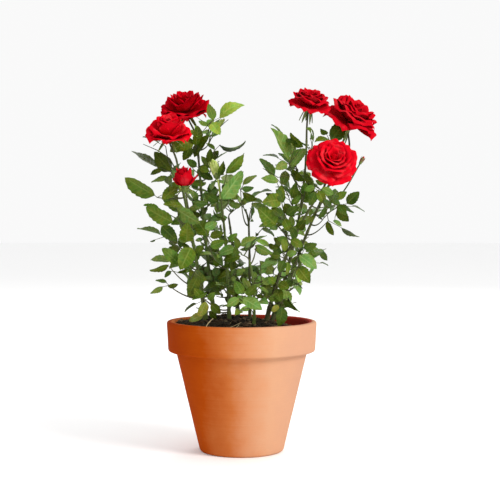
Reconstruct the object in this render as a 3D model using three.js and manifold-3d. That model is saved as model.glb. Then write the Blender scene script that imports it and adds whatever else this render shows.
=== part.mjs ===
// A miniature rose bush in a clay pot: red blooms on leafy canes that lean out of the soil in two groups.
// Millimetres, +Z up, +Y away from the front. The origin is on the pot's axis, on its flat underside.
import * as THREE from 'three';
import { mergeVertices } from 'three/addons/utils/BufferGeometryUtils.js';
import Module from 'manifold-3d';

const wasm = await Module();
wasm.setup();
const { Manifold, Mesh } = wasm;

// Clay pot
const POT_HEIGHT = 130;
const LIP_RADIUS = 75; // outside, at the top of the rim band
const BAND_HEIGHT = 30;
const BAND_TAPER = 1.6; // how far the band draws in towards its lower edge
const NECK_RADIUS = 65.7; // outside of the body, just under the band
const FOOT_RADIUS = 41.8; // outside of the body at the underside
const RIM_THICKNESS = 8;
const WALL_THICKNESS = 7;
const FLOOR_THICKNESS = 9;
const EDGE_ROUND = 2.5; // rounding of the lip, the band's lower edge and the foot
const POT_FACETS = 36;

// Soil
const GROUND = 131; // level that the canes rise from
const PLATEAU_RADIUS = 50; // the soil is level inside this radius
const SOIL_DROP = 9; // mean drop from the ground level to the soil's edge
const SOIL_LEAN = 5; // the edge is this much higher on the left and lower on the right
const CLEAR = 0.3; // clearance between neighbours that touch on the real plant

// Canes and shoots
const CANE_SIDES = 6;
const CANE_STEPS = 5;
const FLARE = 0.5; // extra width at a cane's foot, as a share
const CANE_TIP_RADIUS = 1;
const FOOT_CUT = 3; // length cut off at the foot, where the cane ends flat on the soil
const SHOOT_RADIUS = 1;
const GOLDEN_TURN = 137.5; // between the leaves along a shoot

// Leaves
const LEAF_STALK = 31; // length of a full leaf's stalk
const LEAFLET_LENGTH = 28; // of a full leaf's end leaflet
const LEAFLET_WIDTH = 0.76; // of its length
const LEAFLET_WIDEST = 0.42; // where it is widest, as a share of its length from the stalk
const LEAF_THICKNESS = 0.6;
const STALK_WIDTH = 1.5;
const ROOT_WIDTH = 1.5; // of a leaflet where it joins the stalk
const LEAFLET_CUP = 0.07; // how far its edges stand above its midrib, as a share of its length
const PAIR_SPREAD = 62; // degrees between the stalk and a side leaflet
const FIVE_LEAFLETS = 0.92; // smaller leaves than this share of a full one have three leaflets, not five
const LUCK_COUNT = 20; // random draws that each leaf uses
const LEAF_TRIES = [0, 26, -26, 52, -52];
const LEAF_SHARES = [0.42, 0.8]; // where the side leaves of a shoot stand, as shares of its stem
const SIDE_LEAF_SIZE = 0.8; // of a full leaf
const LIGHT = new THREE.Vector3(0.15, -0.7, 0.6); // leaves turn their upper side this way

// The crown's space, and the open notch between its left and its right group as seen from the front
const CROWN_MIDDLE = 5;
const CROWN_RADIUS_LOW = 60;
const CROWN_RADIUS_HIGH = 102;
const CROWN_WIDEST = 205; // height from which the crown has its full radius
const LOWEST_LEAF = GROUND + 3;
const NOTCH_X = 17;
const NOTCH_FLOOR = 266;
const NOTCH_WIDENING = 0.42;

// Flower heads
const PETAL_THICKNESS = 0.9;
const HEART_SIDES = 6;
const PETAL_ROOT = 0.1; // how far a petal's root stands from the axis, as a share of the head's radius
const PETAL_FULLNESS = 0.6; // below 1 the widest rows stand nearer the tip
const RING_TURNS = [0, 0.5, 0.3]; // how far each ring is turned, as a share of its petals' spacing
const SEPAL_COUNT = 5;

const SMALLEST_EDGE = 0.25;
const RED = 0xc40d1c;
const GREEN = 0x4c7a2c;
const BARK = 0x6f7f38;
const CLAY = 0xd9824f;
const EARTH = 0x2a1d17;

// Each cane rises from its foot, passes by its knee and ends at its tip.
const CANES = {
  left_front: { foot: [-35, -14], knee: [-46, -20, 200], tip: [-63, -27, 288], radius: 2 },
  left_back: { foot: [-27, 12], knee: [-37, 16, 215], tip: [-45, 20, 310], radius: 1.9 },
  left_inner: { foot: [-12, -20], knee: [-15, -27, 200], tip: [-20, -34, 252], radius: 1.6 },
  middle: { foot: [8, 8], knee: [8, 9, 180], tip: [7, 10, 228], radius: 1.5 },
  front: { foot: [12, -32], knee: [12, -42, 162], tip: [8, -58, 192], radius: 1.4 },
  back: { foot: [-4, 38], knee: [-8, 48, 185], tip: [-14, 66, 232], radius: 1.7 },
  right_front: { foot: [24, -14], knee: [46, -18, 200], tip: [80, -18, 262], radius: 1.9 },
  right_inner: { foot: [30, 6], knee: [56, 8, 225], tip: [65, 8, 312], radius: 1.8 },
  right_back: { foot: [36, 26], knee: [70, 32, 225], tip: [108, 38, 298], radius: 1.9 },
};

// Each flower head sits on a stem from its cane and faces a way.
const HEADS = [
  { name: 'bloom_left_front', kind: 'open', radius: 23.5,
    cane: 'left_front', share: 1, at: [-73, -27, 311], faces: [-0.14, -0.4, 0.9] },
  { name: 'bloom_left_back', kind: 'open', radius: 24.5,
    cane: 'left_back', share: 1, at: [-52, 20, 337], faces: [-0.38, -0.3, 0.87] },
  { name: 'bloom_right_front', kind: 'open', radius: 25.5,
    cane: 'right_front', share: 1, at: [90, -19, 283], faces: [0.1, -0.84, 0.53] },
  { name: 'bloom_right_inner', kind: 'open', radius: 22.5,
    cane: 'right_inner', share: 1, at: [71, 8, 339], faces: [-0.1, -0.3, 0.95] },
  { name: 'bloom_right_back', kind: 'open', radius: 28,
    cane: 'right_back', share: 1, at: [111, 38, 325], faces: [0.25, -0.6, 0.75] },
  { name: 'bloom_left_small', kind: 'half', radius: 10.5,
    cane: 'left_front', share: 0.55, at: [-54, -43, 264], faces: [-0.05, -0.15, 0.98] },
  { name: 'bud_left', kind: 'bud', radius: 5.2,
    cane: 'left_inner', share: 1, at: [-24, -36, 275], faces: [-0.26, -0.05, 0.96] },
  { name: 'bud_right', kind: 'bud', radius: 3.4,
    cane: 'right_back', share: 0.7, at: [121, 28, 289], faces: [0.5, -0.1, 0.86] },
];

// Each leafy shoot leaves its cane at a share of the cane's length, and its end leaf reaches to a point.
const SHOOTS = [
  { cane: 'left_front', share: 0.1, reach: [-60, -32, 148] },
  { cane: 'left_front', share: 0.24, reach: [-76, -42, 196] },
  { cane: 'left_front', share: 0.42, reach: [-104, -14, 226] },
  { cane: 'left_front', share: 0.62, reach: [-94, -42, 246] },
  { cane: 'left_front', share: 0.78, reach: [-116, -20, 274] },
  { cane: 'left_back', share: 0.14, reach: [-92, 25, 166] },
  { cane: 'left_back', share: 0.3, reach: [-93, 20, 190] },
  { cane: 'left_back', share: 0.5, reach: [-62, 80, 226] },
  { cane: 'left_back', share: 0.7, reach: [-112, 4, 296] },
  { cane: 'left_back', share: 0.6, reach: [-24, -8, 272] },
  { cane: 'left_back', share: 0.8, reach: [-36, -22, 308] },
  { cane: 'left_back', share: 0.95, reach: [4, 24, 348] },
  { cane: 'left_inner', share: 0.22, reach: [-53, -54, 161] },
  { cane: 'left_inner', share: 0.55, reach: [-48, -66, 214] },
  { cane: 'left_inner', share: 0.93, reach: [3, -30, 302] },
  { cane: 'middle', share: 0.35, reach: [-38, 40, 196] },
  { cane: 'middle', share: 0.75, reach: [30, -10, 262] },
  { cane: 'middle', share: 1, reach: [-4, 12, 276] },
  { cane: 'front', share: 0.3, reach: [-6, -68, 142] },
  { cane: 'front', share: 0.65, reach: [44, -76, 180] },
  { cane: 'front', share: 1, reach: [-20, -84, 216] },
  { cane: 'back', share: 0.2, reach: [-36, 78, 166] },
  { cane: 'back', share: 0.45, reach: [38, 84, 186] },
  { cane: 'back', share: 0.75, reach: [-62, 74, 272] },
  { cane: 'back', share: 1, reach: [0, 92, 258] },
  { cane: 'right_front', share: 0.12, reach: [42, -48, 134] },
  { cane: 'right_front', share: 0.34, reach: [82, -45, 190] },
  { cane: 'right_front', share: 0.6, reach: [104, -34, 226] },
  { cane: 'right_front', share: 0.86, reach: [122, -12, 246] },
  { cane: 'right_inner', share: 0.2, reach: [66, -10, 168] },
  { cane: 'right_inner', share: 0.34, reach: [44, -28, 252] },
  { cane: 'right_inner', share: 0.45, reach: [14, -12, 244] },
  { cane: 'right_inner', share: 0.62, reach: [18, 6, 292] },
  { cane: 'right_inner', share: 0.8, reach: [30, 0, 326] },
  { cane: 'right_inner', share: 0.93, reach: [92, -6, 318] },
  { cane: 'right_back', share: 0.16, reach: [62, 74, 166] },
  { cane: 'right_back', share: 0.36, reach: [102, 44, 206] },
  { cane: 'right_back', share: 0.56, reach: [120, 24, 256] },
  { cane: 'right_back', share: 0.76, reach: [56, 78, 276] },
];

const UP = new THREE.Vector3(0, 0, 1);
const rose = new THREE.Group();
rose.name = 'rose_bush';

const vector = (x = 0, y = 0, z = 0) => new THREE.Vector3(x, y, z);
const radians = THREE.MathUtils.degToRad;
const sum = (point, ...steps) => steps.reduce((p, [way, far]) => p.addScaledVector(way, far), point.clone());

// A repeatable random number from 0 to 1
function seeded(seed) {
  let state = (seed * 7919 + 17) % 2147483647;
  const draw = () => {
    state = (state * 16807) % 2147483647;
    return state / 2147483647;
  };
  draw();
  draw();
  return draw;
}

function solidOf(geometry) {
  const bare = geometry.index ? geometry.toNonIndexed() : geometry.clone();
  bare.deleteAttribute('normal');
  bare.deleteAttribute('uv');
  const merged = mergeVertices(bare, 1e-3);
  return new Manifold(new Mesh({
    numProp: 3,
    vertProperties: merged.attributes.position.array,
    triVerts: new Uint32Array(merged.index.array),
  }));
}

function geometryOf(solid) {
  const mesh = solid.getMesh();
  const geometry = new THREE.BufferGeometry();
  geometry.setAttribute('position', new THREE.BufferAttribute(new Float32Array(mesh.vertProperties), 3));
  geometry.setIndex(new THREE.BufferAttribute(new Uint32Array(mesh.triVerts), 1));
  return geometry;
}

// One closed body from solids that overlap. Loose scraps and sealed hollows are left out, and the smallest edges
// that a crossing leaves are merged.
function fused(solids) {
  const joined = solidOf(geometryOf(Manifold.union(solids).simplify(SMALLEST_EDGE)));
  return joined.decompose().reduce((most, solid) => (solid.volume() > most.volume() ? solid : most));
}

function piece(name, geometry, color, roughness) {
  geometry.computeVertexNormals();
  const material = new THREE.MeshStandardMaterial({ color, roughness, metalness: 0 });
  const mesh = new THREE.Mesh(geometry, material);
  mesh.name = name;
  rose.add(mesh);
}

// Everything that has its place so far, each solid with the node that it belongs to
const taken = [];

function take(solid, owner) {
  taken.push({ solid, owner, box: solid.boundingBox() });
}

// Nothing new may touch what has its place, but may cross what belongs to the same node if that is named
function isFree(solid, same) {
  const box = solid.boundingBox();
  return taken.every((other) => {
    const apart = [0, 1, 2].some((k) => box.min[k] > other.box.max[k] || box.max[k] < other.box.min[k]);
    return apart || other.owner === same || solid.intersect(other.solid).isEmpty();
  });
}

// A tapering round limb along a curve, closed by a flat cut at each end
function limb(curve, radiusAt, sides, steps) {
  const tube = new THREE.CylinderGeometry(1, 1, 1, sides, steps);
  const frames = curve.computeFrenetFrames(steps, false);
  const position = tube.attributes.position;
  for (let i = 0; i < position.count; i += 1) {
    const share = position.getY(i) + 0.5;
    const step = Math.round(share * steps);
    const radius = radiusAt(share);
    const right = [frames.binormals[step], position.getX(i) * radius];
    const up = [frames.normals[step], position.getZ(i) * radius];
    const point = sum(curve.getPointAt(share), right, up);
    position.setXYZ(i, point.x, point.y, point.z);
  }
  return solidOf(tube);
}

// A thin blade of rhombic section. A corner's place comes from its share of the way from root to tip, its
// side (-1, 0 or 1 across the blade) and its face (1 upper, -1 under).
function blade(rows, place) {
  const form = new THREE.SphereGeometry(1, 4, rows);
  const position = form.attributes.position;
  for (let i = 0; i < position.count; i += 1) {
    const row = Math.round((Math.acos(position.getY(i)) / Math.PI) * rows);
    const ring = row > 0 && row < rows ? Math.sin((row / rows) * Math.PI) : 1;
    const side = Math.round(position.getX(i) / ring);
    const face = Math.round(position.getZ(i) / ring);
    const point = place(1 - row / rows, side, face);
    position.setXYZ(i, point.x, point.y, point.z);
  }
  return solidOf(form);
}

// A profile of [radius, height] turned round the Z axis
function turned(profile, facets) {
  const points = profile.map(([r, z]) => new THREE.Vector2(r, z));
  return new THREE.LatheGeometry(points, facets).rotateX(Math.PI / 2);
}

function pot() {
  const bandFoot = POT_HEIGHT - BAND_HEIGHT;
  const slope = (NECK_RADIUS - FOOT_RADIUS) / bandFoot;
  const innerFoot = FOOT_RADIUS + slope * FLOOR_THICKNESS - WALL_THICKNESS;
  const innerTop = LIP_RADIUS - RIM_THICKNESS;
  const half = EDGE_ROUND * 0.3;
  const profile = [
    [0, 0],
    [FOOT_RADIUS - EDGE_ROUND, 0],
    [FOOT_RADIUS - half, half],
    [FOOT_RADIUS + slope * EDGE_ROUND, EDGE_ROUND],
    [NECK_RADIUS, bandFoot - EDGE_ROUND],
    [NECK_RADIUS + EDGE_ROUND * 0.6, bandFoot - half],
    [LIP_RADIUS - BAND_TAPER - EDGE_ROUND, bandFoot],
    [LIP_RADIUS - BAND_TAPER, bandFoot + EDGE_ROUND],
    [LIP_RADIUS, POT_HEIGHT - EDGE_ROUND],
    [LIP_RADIUS - half, POT_HEIGHT - half],
    [LIP_RADIUS - EDGE_ROUND, POT_HEIGHT],
    [innerTop + EDGE_ROUND, POT_HEIGHT],
    [innerTop, POT_HEIGHT - EDGE_ROUND],
    [innerFoot, FLOOR_THICKNESS],
    [0, FLOOR_THICKNESS],
  ];
  return turned(profile, POT_FACETS);
}

// The radius of the pot's inner wall at a height
function innerRadius(z) {
  const slope = (NECK_RADIUS - FOOT_RADIUS) / (POT_HEIGHT - BAND_HEIGHT);
  const low = FOOT_RADIUS + slope * FLOOR_THICKNESS - WALL_THICKNESS;
  const high = LIP_RADIUS - RIM_THICKNESS;
  return low + (high - low) * ((z - FLOOR_THICKNESS) / (POT_HEIGHT - EDGE_ROUND - FLOOR_THICKNESS));
}

// The soil's plug: a level middle, and an edge that lies lower, more so on the right
function soil() {
  const flats = Math.cos(Math.PI / POT_FACETS); // the flats of the pot's wall lie nearer the axis
  const floor = FLOOR_THICKNESS + CLEAR;
  const profile = [[0, 0], [1, 0], [1, 1], [0.9, 1], [PLATEAU_RADIUS, 2], [0, 2]];
  const plug = turned(profile, POT_FACETS);
  const position = plug.attributes.position;
  for (let i = 0; i < position.count; i += 1) {
    const r = Math.hypot(position.getX(i), position.getY(i));
    const level = Math.round(position.getZ(i));
    const angle = Math.atan2(position.getY(i), position.getX(i));
    const edge = GROUND - SOIL_DROP - SOIL_LEAN * Math.cos(angle);
    const wall = (innerRadius(level === 0 ? floor : edge) - CLEAR) * flats;
    const radius = level === 2 || r < 1e-6 ? r : wall * (r > 0.95 ? 1 : 0.88);
    const height = [floor, edge, GROUND][level] + (level === 1 && r < 0.95 ? SOIL_DROP * 0.4 : 0);
    position.setXYZ(i, Math.cos(angle) * radius, Math.sin(angle) * radius, height);
  }
  return plug;
}

function caneLine({ foot, knee, tip }) {
  const start = vector(...foot, GROUND - FOOT_CUT);
  const end = vector(...tip);
  const bend = sum(vector(), [vector(...knee), 2], [start, -0.5], [end, -0.5]);
  return new THREE.QuadraticBezierCurve3(start, bend, end);
}

function caneRadius({ radius }, share) {
  const flare = FLARE * radius * Math.max(0, 1 - share * CANE_STEPS);
  return radius + (CANE_TIP_RADIUS - radius) * share + flare;
}

// Where a stem that heads for a goal starts, just clear of its cane. At the tip it goes on from the cane.
function rootOn(name, share, goal) {
  const cane = CANES[name];
  const line = caneLine(cane);
  const point = line.getPointAt(share);
  const ahead = line.getTangentAt(share);
  if (share === 1) return { start: sum(point, [ahead, CLEAR]), out: ahead };
  const out = goal.clone().sub(point);
  out.addScaledVector(ahead, -out.dot(ahead)).normalize();
  return { start: sum(point, [out, caneRadius(cane, share) + CLEAR]), out };
}

// Where a leaf's stalk and leaflets lie: it runs from its base to its tip, with its upper side to the light.
function leafPlan(base, tip, roll, luck) {
  const swing = (k) => luck[k] * 2 - 1;
  const whole = tip.clone().sub(base);
  const size = whole.length() / (LEAF_STALK + LEAFLET_LENGTH);
  const along = whole.normalize();
  const outward = vector(base.x - CROWN_MIDDLE, base.y, 0).normalize();
  const face = sum(LIGHT, [outward, 0.35], [vector(swing(0), swing(1), swing(2)), 0.6]);
  const side = vector().crossVectors(face, along).normalize().applyAxisAngle(along, radians(roll));
  const normal = vector().crossVectors(along, side);
  const length = LEAF_STALK * size;
  const arch = sum(base, [along, length * 0.5], [normal, length * 0.14]);
  const end = sum(base, [along, length], [normal, length * 0.06]);
  const line = new THREE.QuadraticBezierCurve3(base, arch, end);
  const leaflets = [];
  const addLeaflet = (share, hand, scale, k) => {
    const ahead = share === 1 ? tip.clone().sub(end).normalize() : line.getTangent(share);
    const turn = radians(hand * PAIR_SPREAD);
    const lift = hand ? 0.3 * swing(k) - 0.05 : 0;
    const way = sum(vector(), [ahead, Math.cos(turn)], [side, Math.sin(turn)], [normal, lift]).normalize();
    const level = vector().crossVectors(normal, way).normalize();
    const wide = level.applyAxisAngle(way, radians(22 * swing(k + 1)));
    const top = vector().crossVectors(way, wide);
    const root = line.getPoint(share);
    leaflets.push({ share, hand, root, way, wide, top, length: LEAFLET_LENGTH * size * scale });
  };
  addLeaflet(1, 0, 1, 4);
  const pairs = size > FIVE_LEAFLETS ? [[0.72, 0.86], [0.36, 0.7]] : [[0.55, 0.84]];
  pairs.forEach(([share, scale], i) => {
    addLeaflet(share, 1, scale, 6 + i * 4);
    addLeaflet(share, -1, scale * 0.95, 8 + i * 4);
  });
  return { line, side, normal, length, leaflets };
}

// The room that a leaflet needs, with clearance all round
function leafletRoom({ root, way, wide, top, length }) {
  return blade(2, (share, side, face) => {
    if (share === 0) return root;
    if (share === 1) return sum(root, [way, length + CLEAR]);
    const out = side * (length * LEAFLET_WIDTH * 0.5 + CLEAR);
    const lift = Math.abs(side) * length * LEAFLET_CUP + face * (LEAF_THICKNESS * 0.5 + CLEAR);
    return sum(root, [way, length * LEAFLET_WIDEST], [wide, -out], [top, lift]);
  });
}

// The corners of a leaf's outline, up one side of its stalk, round the end leaflet and down the other side.
// Each has a flat place, which gives the outline, and a place in space with its own upper side.
function leafCorners({ line, side, normal, length, leaflets }) {
  const corners = [];
  const onStalk = (share, hand) => {
    const half = (hand * STALK_WIDTH) / 2;
    const flat = new THREE.Vector2(share * length, half);
    corners.push({ flat, point: sum(line.getPoint(share), [side, half]), top: normal });
  };
  const leafletCorner = ({ share, hand, root, way, wide, top, length: far }, reach, out) => {
    const turn = radians(hand * PAIR_SPREAD);
    const flatWay = new THREE.Vector2(Math.cos(turn), Math.sin(turn));
    const flatWide = new THREE.Vector2(-flatWay.y, flatWay.x);
    const flat = new THREE.Vector2(share * length, 0);
    flat.addScaledVector(flatWay, reach * far).addScaledVector(flatWide, out * far);
    const lift = out === 0 ? 0 : LEAFLET_CUP * far;
    corners.push({ flat, point: sum(root, [way, reach * far], [wide, out * far], [top, lift]), top });
  };
  const aroundLeaflet = (leaflet) => {
    const halfRoot = (leaflet.hand * ROOT_WIDTH) / 2 / length;
    if (leaflet.hand) onStalk(leaflet.share - halfRoot, leaflet.hand);
    leafletCorner(leaflet, LEAFLET_WIDEST, LEAFLET_WIDTH / 2);
    leafletCorner(leaflet, 1, 0);
    leafletCorner(leaflet, LEAFLET_WIDEST, -LEAFLET_WIDTH / 2);
    if (leaflet.hand) onStalk(leaflet.share + halfRoot, leaflet.hand);
  };
  const upTheStalk = (one, other) => one.share - other.share;
  onStalk(0, 1);
  leaflets.filter(({ hand }) => hand === 1).sort(upTheStalk).forEach(aroundLeaflet);
  onStalk(1, 1);
  leaflets.filter(({ hand }) => hand === 0).forEach(aroundLeaflet);
  onStalk(1, -1);
  leaflets.filter(({ hand }) => hand === -1).sort(upTheStalk).reverse().forEach(aroundLeaflet);
  onStalk(0, -1);
  return corners;
}

// A leaf is one thin sheet, cut out flat and then bent to its place.
function leafSolid(plan) {
  const corners = leafCorners(plan);
  const outline = new THREE.Shape(corners.map(({ flat }) => flat));
  const sheet = new THREE.ExtrudeGeometry(outline, { depth: 1, bevelEnabled: false });
  const position = sheet.attributes.position;
  for (let i = 0; i < position.count; i += 1) {
    const place = new THREE.Vector2(position.getX(i), position.getY(i));
    const { point, top } = corners.find(({ flat }) => flat.distanceTo(place) < 0.01);
    const thick = sum(point, [top, (position.getZ(i) - 0.5) * LEAF_THICKNESS]);
    position.setXYZ(i, thick.x, thick.y, thick.z);
  }
  return solidOf(sheet);
}

const tipOf = (leaflet) => sum(leaflet.root, [leaflet.way, leaflet.length]);

// Whether a leaf may reach to a point: within the crown's outline, above the soil and out of the notch
function inCrown(point) {
  const widening = THREE.MathUtils.clamp((point.z - GROUND) / (CROWN_WIDEST - GROUND), 0, 1);
  const reach = CROWN_RADIUS_LOW + (CROWN_RADIUS_HIGH - CROWN_RADIUS_LOW) * widening;
  const notchHalf = (point.z - NOTCH_FLOOR) * NOTCH_WIDENING + 3;
  const inNotch = point.z > NOTCH_FLOOR && Math.abs(point.x - NOTCH_X) < notchHalf;
  const out = Math.hypot(point.x - CROWN_MIDDLE, point.y * 1.1);
  return point.z > LOWEST_LEAF && out < reach && !inNotch;
}

// Grows a leaf where it touches nothing. A leaflet with no room is left off.
function growLeaf(owner, base, tip, aimed, seed) {
  const random = seeded(seed);
  const luck = Array.from({ length: LUCK_COUNT }, random);
  let best = { count: 0 };
  for (const swing of LEAF_TRIES) {
    const turnedTip = aimed ? tip : tip.clone().sub(base).applyAxisAngle(UP, radians(swing)).add(base);
    const plan = leafPlan(base, turnedTip, aimed ? swing : 0, luck);
    const outer = new THREE.QuadraticBezierCurve3(plan.line.getPoint(0.12), plan.line.v1, plan.line.v2);
    if (!isFree(limb(outer, () => STALK_WIDTH / 2 + CLEAR, 3, 2))) continue;
    const hasRoom = (leaflet) => (aimed || inCrown(tipOf(leaflet))) && isFree(leafletRoom(leaflet));
    const leaflets = plan.leaflets.filter(hasRoom);
    if (leaflets.length < 2 || leaflets.length <= best.count) continue;
    const solid = leafSolid({ ...plan, leaflets });
    if (isFree(solid, owner)) best = { solid, count: leaflets.length };
    if (best.count === plan.leaflets.length) break;
  }
  if (best.count === 0) return [];
  take(best.solid, owner);
  return [best.solid];
}

// Petals stand in rings: how many, the height of their roots, the middle and the tip of each as [out, up], its
// half width, and how far its edges bend inwards. All lengths are shares of the head's radius.
const RINGS = {
  open: [
    { count: 5, root: 0, middle: [0.8, 0.04], tip: [1.03, 0.38], width: 0.46, cup: 0.02, rows: 3 },
    { count: 5, root: 0.12, middle: [0.64, 0.26], tip: [0.86, 0.76], width: 0.42, cup: 0.1, rows: 2 },
    { count: 4, root: 0.24, middle: [0.44, 0.5], tip: [0.42, 1.02], width: 0.38, cup: 0.3, rows: 2 },
  ],
  half: [
    { count: 5, root: 0, middle: [1, 0.3], tip: [0.95, 1.15], width: 0.63, cup: 0.2, rows: 2 },
    { count: 3, root: 0.4, middle: [0.7, 0.8], tip: [0.4, 1.6], width: 0.52, cup: 0.35, rows: 2 },
  ],
  bud: [],
};

const HEARTS = {
  open: [[0, -0.3], [0.14, -0.26], [0.17, -0.1], [0.14, 0.08], [0.2, 0.34], [0.1, 0.68], [0, 0.72]],
  half: [[0, -0.6], [0.3, -0.5], [0.38, -0.1], [0.34, 0.3], [0.36, 0.8], [0.2, 1.4], [0, 1.5]],
  bud: [[0, -1], [0.6, -0.8], [0.8, -0.2], [0.72, 0.3], [1, 1.2], [0.82, 2.2], [0.3, 3.3], [0, 3.5]],
};
const SEPALS = {
  open: { length: 0.75, drop: -0.7, root: -0.1, out: 0.08, width: 0.13 },
  half: { length: 1.2, drop: -0.4, root: -0.2, out: 0.2, width: 0.2 },
  bud: { length: 3.1, drop: 2.6, root: -0.2, out: 0.55, width: 0.36 },
};

function around(turn) {
  const angle = turn * Math.PI * 2;
  const out = vector(Math.cos(angle), Math.sin(angle));
  const across = vector(-Math.sin(angle), Math.cos(angle));
  return { out, across };
}

// A petal rises from the heart and bends outwards; it is thickest down its middle.
function petal({ root, middle, tip, width, cup, rows }, turn, radius) {
  const { out, across } = around(turn);
  const spine = new THREE.QuadraticBezierCurve(new THREE.Vector2(PETAL_ROOT, root),
    new THREE.Vector2(...middle), new THREE.Vector2(...tip));
  return blade(rows, (level, side, face) => {
    const share = level ** PETAL_FULLNESS;
    const point = spine.getPoint(share);
    const ahead = spine.getTangent(share);
    const under = vector().crossVectors(across, sum(vector(), [out, ahead.x], [UP, ahead.y]));
    const half = width * radius;
    const thick = (face * PETAL_THICKNESS) / 2 - Math.abs(side) * cup * half;
    const middlePoint = sum(vector(), [out, point.x * radius], [UP, point.y * radius]);
    return sum(middlePoint, [across, side * half], [under, thick]);
  });
}

function sepal({ length, drop, root, out: far, width }, turn, radius) {
  const { out, across } = around(turn);
  const way = sum(out, [UP, drop]).normalize();
  const top = vector().crossVectors(across, way);
  const start = sum(vector(), [out, far * radius], [UP, root * radius]);
  return blade(2, (share, side, face) => sum(start, [way, share * length * radius],
    [across, side * width * radius], [top, (face * PETAL_THICKNESS) / 2]));
}

// A flower head stands along +Z, with the foot of its petals at the origin.
function headSolids(kind, radius) {
  const heart = turned(HEARTS[kind].map(([r, z]) => [r * radius, z * radius]), HEART_SIDES);
  const solids = [solidOf(heart)];
  RINGS[kind].forEach((ring, i) => {
    for (let k = 0; k < ring.count; k += 1) {
      solids.push(petal(ring, (k + RING_TURNS[i]) / ring.count, radius));
    }
  });
  for (let k = 0; k < SEPAL_COUNT; k += 1) {
    solids.push(sepal(SEPALS[kind], (k + 0.25) / SEPAL_COUNT, radius));
  }
  return solids;
}

const potGeometry = pot();
const soilGeometry = soil();
piece('pot', potGeometry, CLAY, 0.85);
piece('soil', soilGeometry, EARTH, 1);
take(solidOf(potGeometry), 'pot');
take(solidOf(soilGeometry), 'soil');

for (const [name, cane] of Object.entries(CANES)) {
  const whole = limb(caneLine(cane), (share) => caneRadius(cane, share), CANE_SIDES, CANE_STEPS);
  const solid = whole.trimByPlane([0, 0, 1], GROUND + CLEAR);
  piece('cane_' + name, geometryOf(solid), BARK, 0.7);
  take(solid, 'cane_' + name);
}

for (const { name, cane, share, kind, at, faces, radius } of HEADS) {
  const foot = vector(...at);
  const axis = vector(...faces).normalize();
  const { start, out } = rootOn(cane, share, foot);
  const bend = start.distanceTo(foot) * 0.35;
  const line = new THREE.CubicBezierCurve3(start, sum(start, [out, bend]), sum(foot, [axis, -bend]), foot);
  const stem = limb(line, (along) => CANE_TIP_RADIUS * (share === 1 ? 1 : 0.85) - 0.15 * along, 5, 4);
  const turn = new THREE.Quaternion().setFromUnitVectors(UP, axis);
  const placing = new THREE.Matrix4().compose(foot, turn, vector(1, 1, 1));
  const head = headSolids(kind, radius).map((solid) => solid.transform(placing.elements));
  const solid = fused([stem, ...head]);
  piece(name, geometryOf(solid), kind === 'bud' ? GREEN : RED, 0.55);
  take(solid, name);
}

// The stems of all the leafy shoots come before their leaves, so that no leaf stands in the way of a stem
const counts = {};
const masses = SHOOTS.map(({ cane, share, reach }, i) => {
  counts[cane] = (counts[cane] || 0) + 1;
  const goal = vector(...reach);
  const { start, out } = rootOn(cane, share, goal);
  const far = start.distanceTo(goal);
  const leaf = Math.min(LEAF_STALK + LEAFLET_LENGTH, far * 0.74);
  const end = start.clone().lerp(goal, 1 - leaf / far);
  const line = new THREE.QuadraticBezierCurve3(start, sum(start, [out, (far - leaf) * 0.45]), end);
  const stem = limb(line, (along) => SHOOT_RADIUS * (1 - 0.3 * along), 3, 3);
  const name = 'leaves_' + cane + '_' + counts[cane];
  take(stem, name);
  return { name, line, goal, seed: 10 * (i + 1), solids: [stem] };
});

masses.forEach(({ name, line, goal, seed, solids }) => {
  solids.push(...growLeaf(name, line.getPointAt(0.97), goal, true, seed));
});
LEAF_SHARES.forEach((share, i) => {
  masses.forEach((mass) => {
    const random = seeded(mass.seed + i + 1);
    const base = mass.line.getPointAt(share);
    const heading = mass.goal.clone().sub(base).setZ(0).normalize();
    heading.applyAxisAngle(UP, radians((i % 2 ? 1 : -1) * GOLDEN_TURN * 0.5 + 50 * (random() - 0.5)));
    const rise = radians(12 + 30 * random());
    const length = (LEAF_STALK + LEAFLET_LENGTH) * SIDE_LEAF_SIZE * (0.8 + 0.4 * random());
    const tip = sum(base, [heading, length * Math.cos(rise)], [UP, length * Math.sin(rise)]);
    mass.solids.push(...growLeaf(mass.name, base, tip, false, mass.seed + i + 5));
  });
});
masses.forEach(({ name, solids }) => piece(name, geometryOf(fused(solids)), GREEN, 0.6));

export default rose;
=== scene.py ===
# %% [markdown]
# # A potted miniature rose
#
# A miniature rose bush with red blooms stands in a clay pot. This lesson builds its looks around a plain
# solid model that already has the right sizes: the pot, the soil, nine canes, the flower heads and the
# masses of leaves. That model is loaded first and stays fixed. Each of its pieces is then replaced by a
# finer one that lies in the same place, so that nothing has to be fitted afterwards.

import math

import bpy
import numpy as np
from mathutils import Matrix, Quaternion, Vector
from mathutils.bvhtree import BVHTree
from mathutils.kdtree import KDTree


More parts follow.
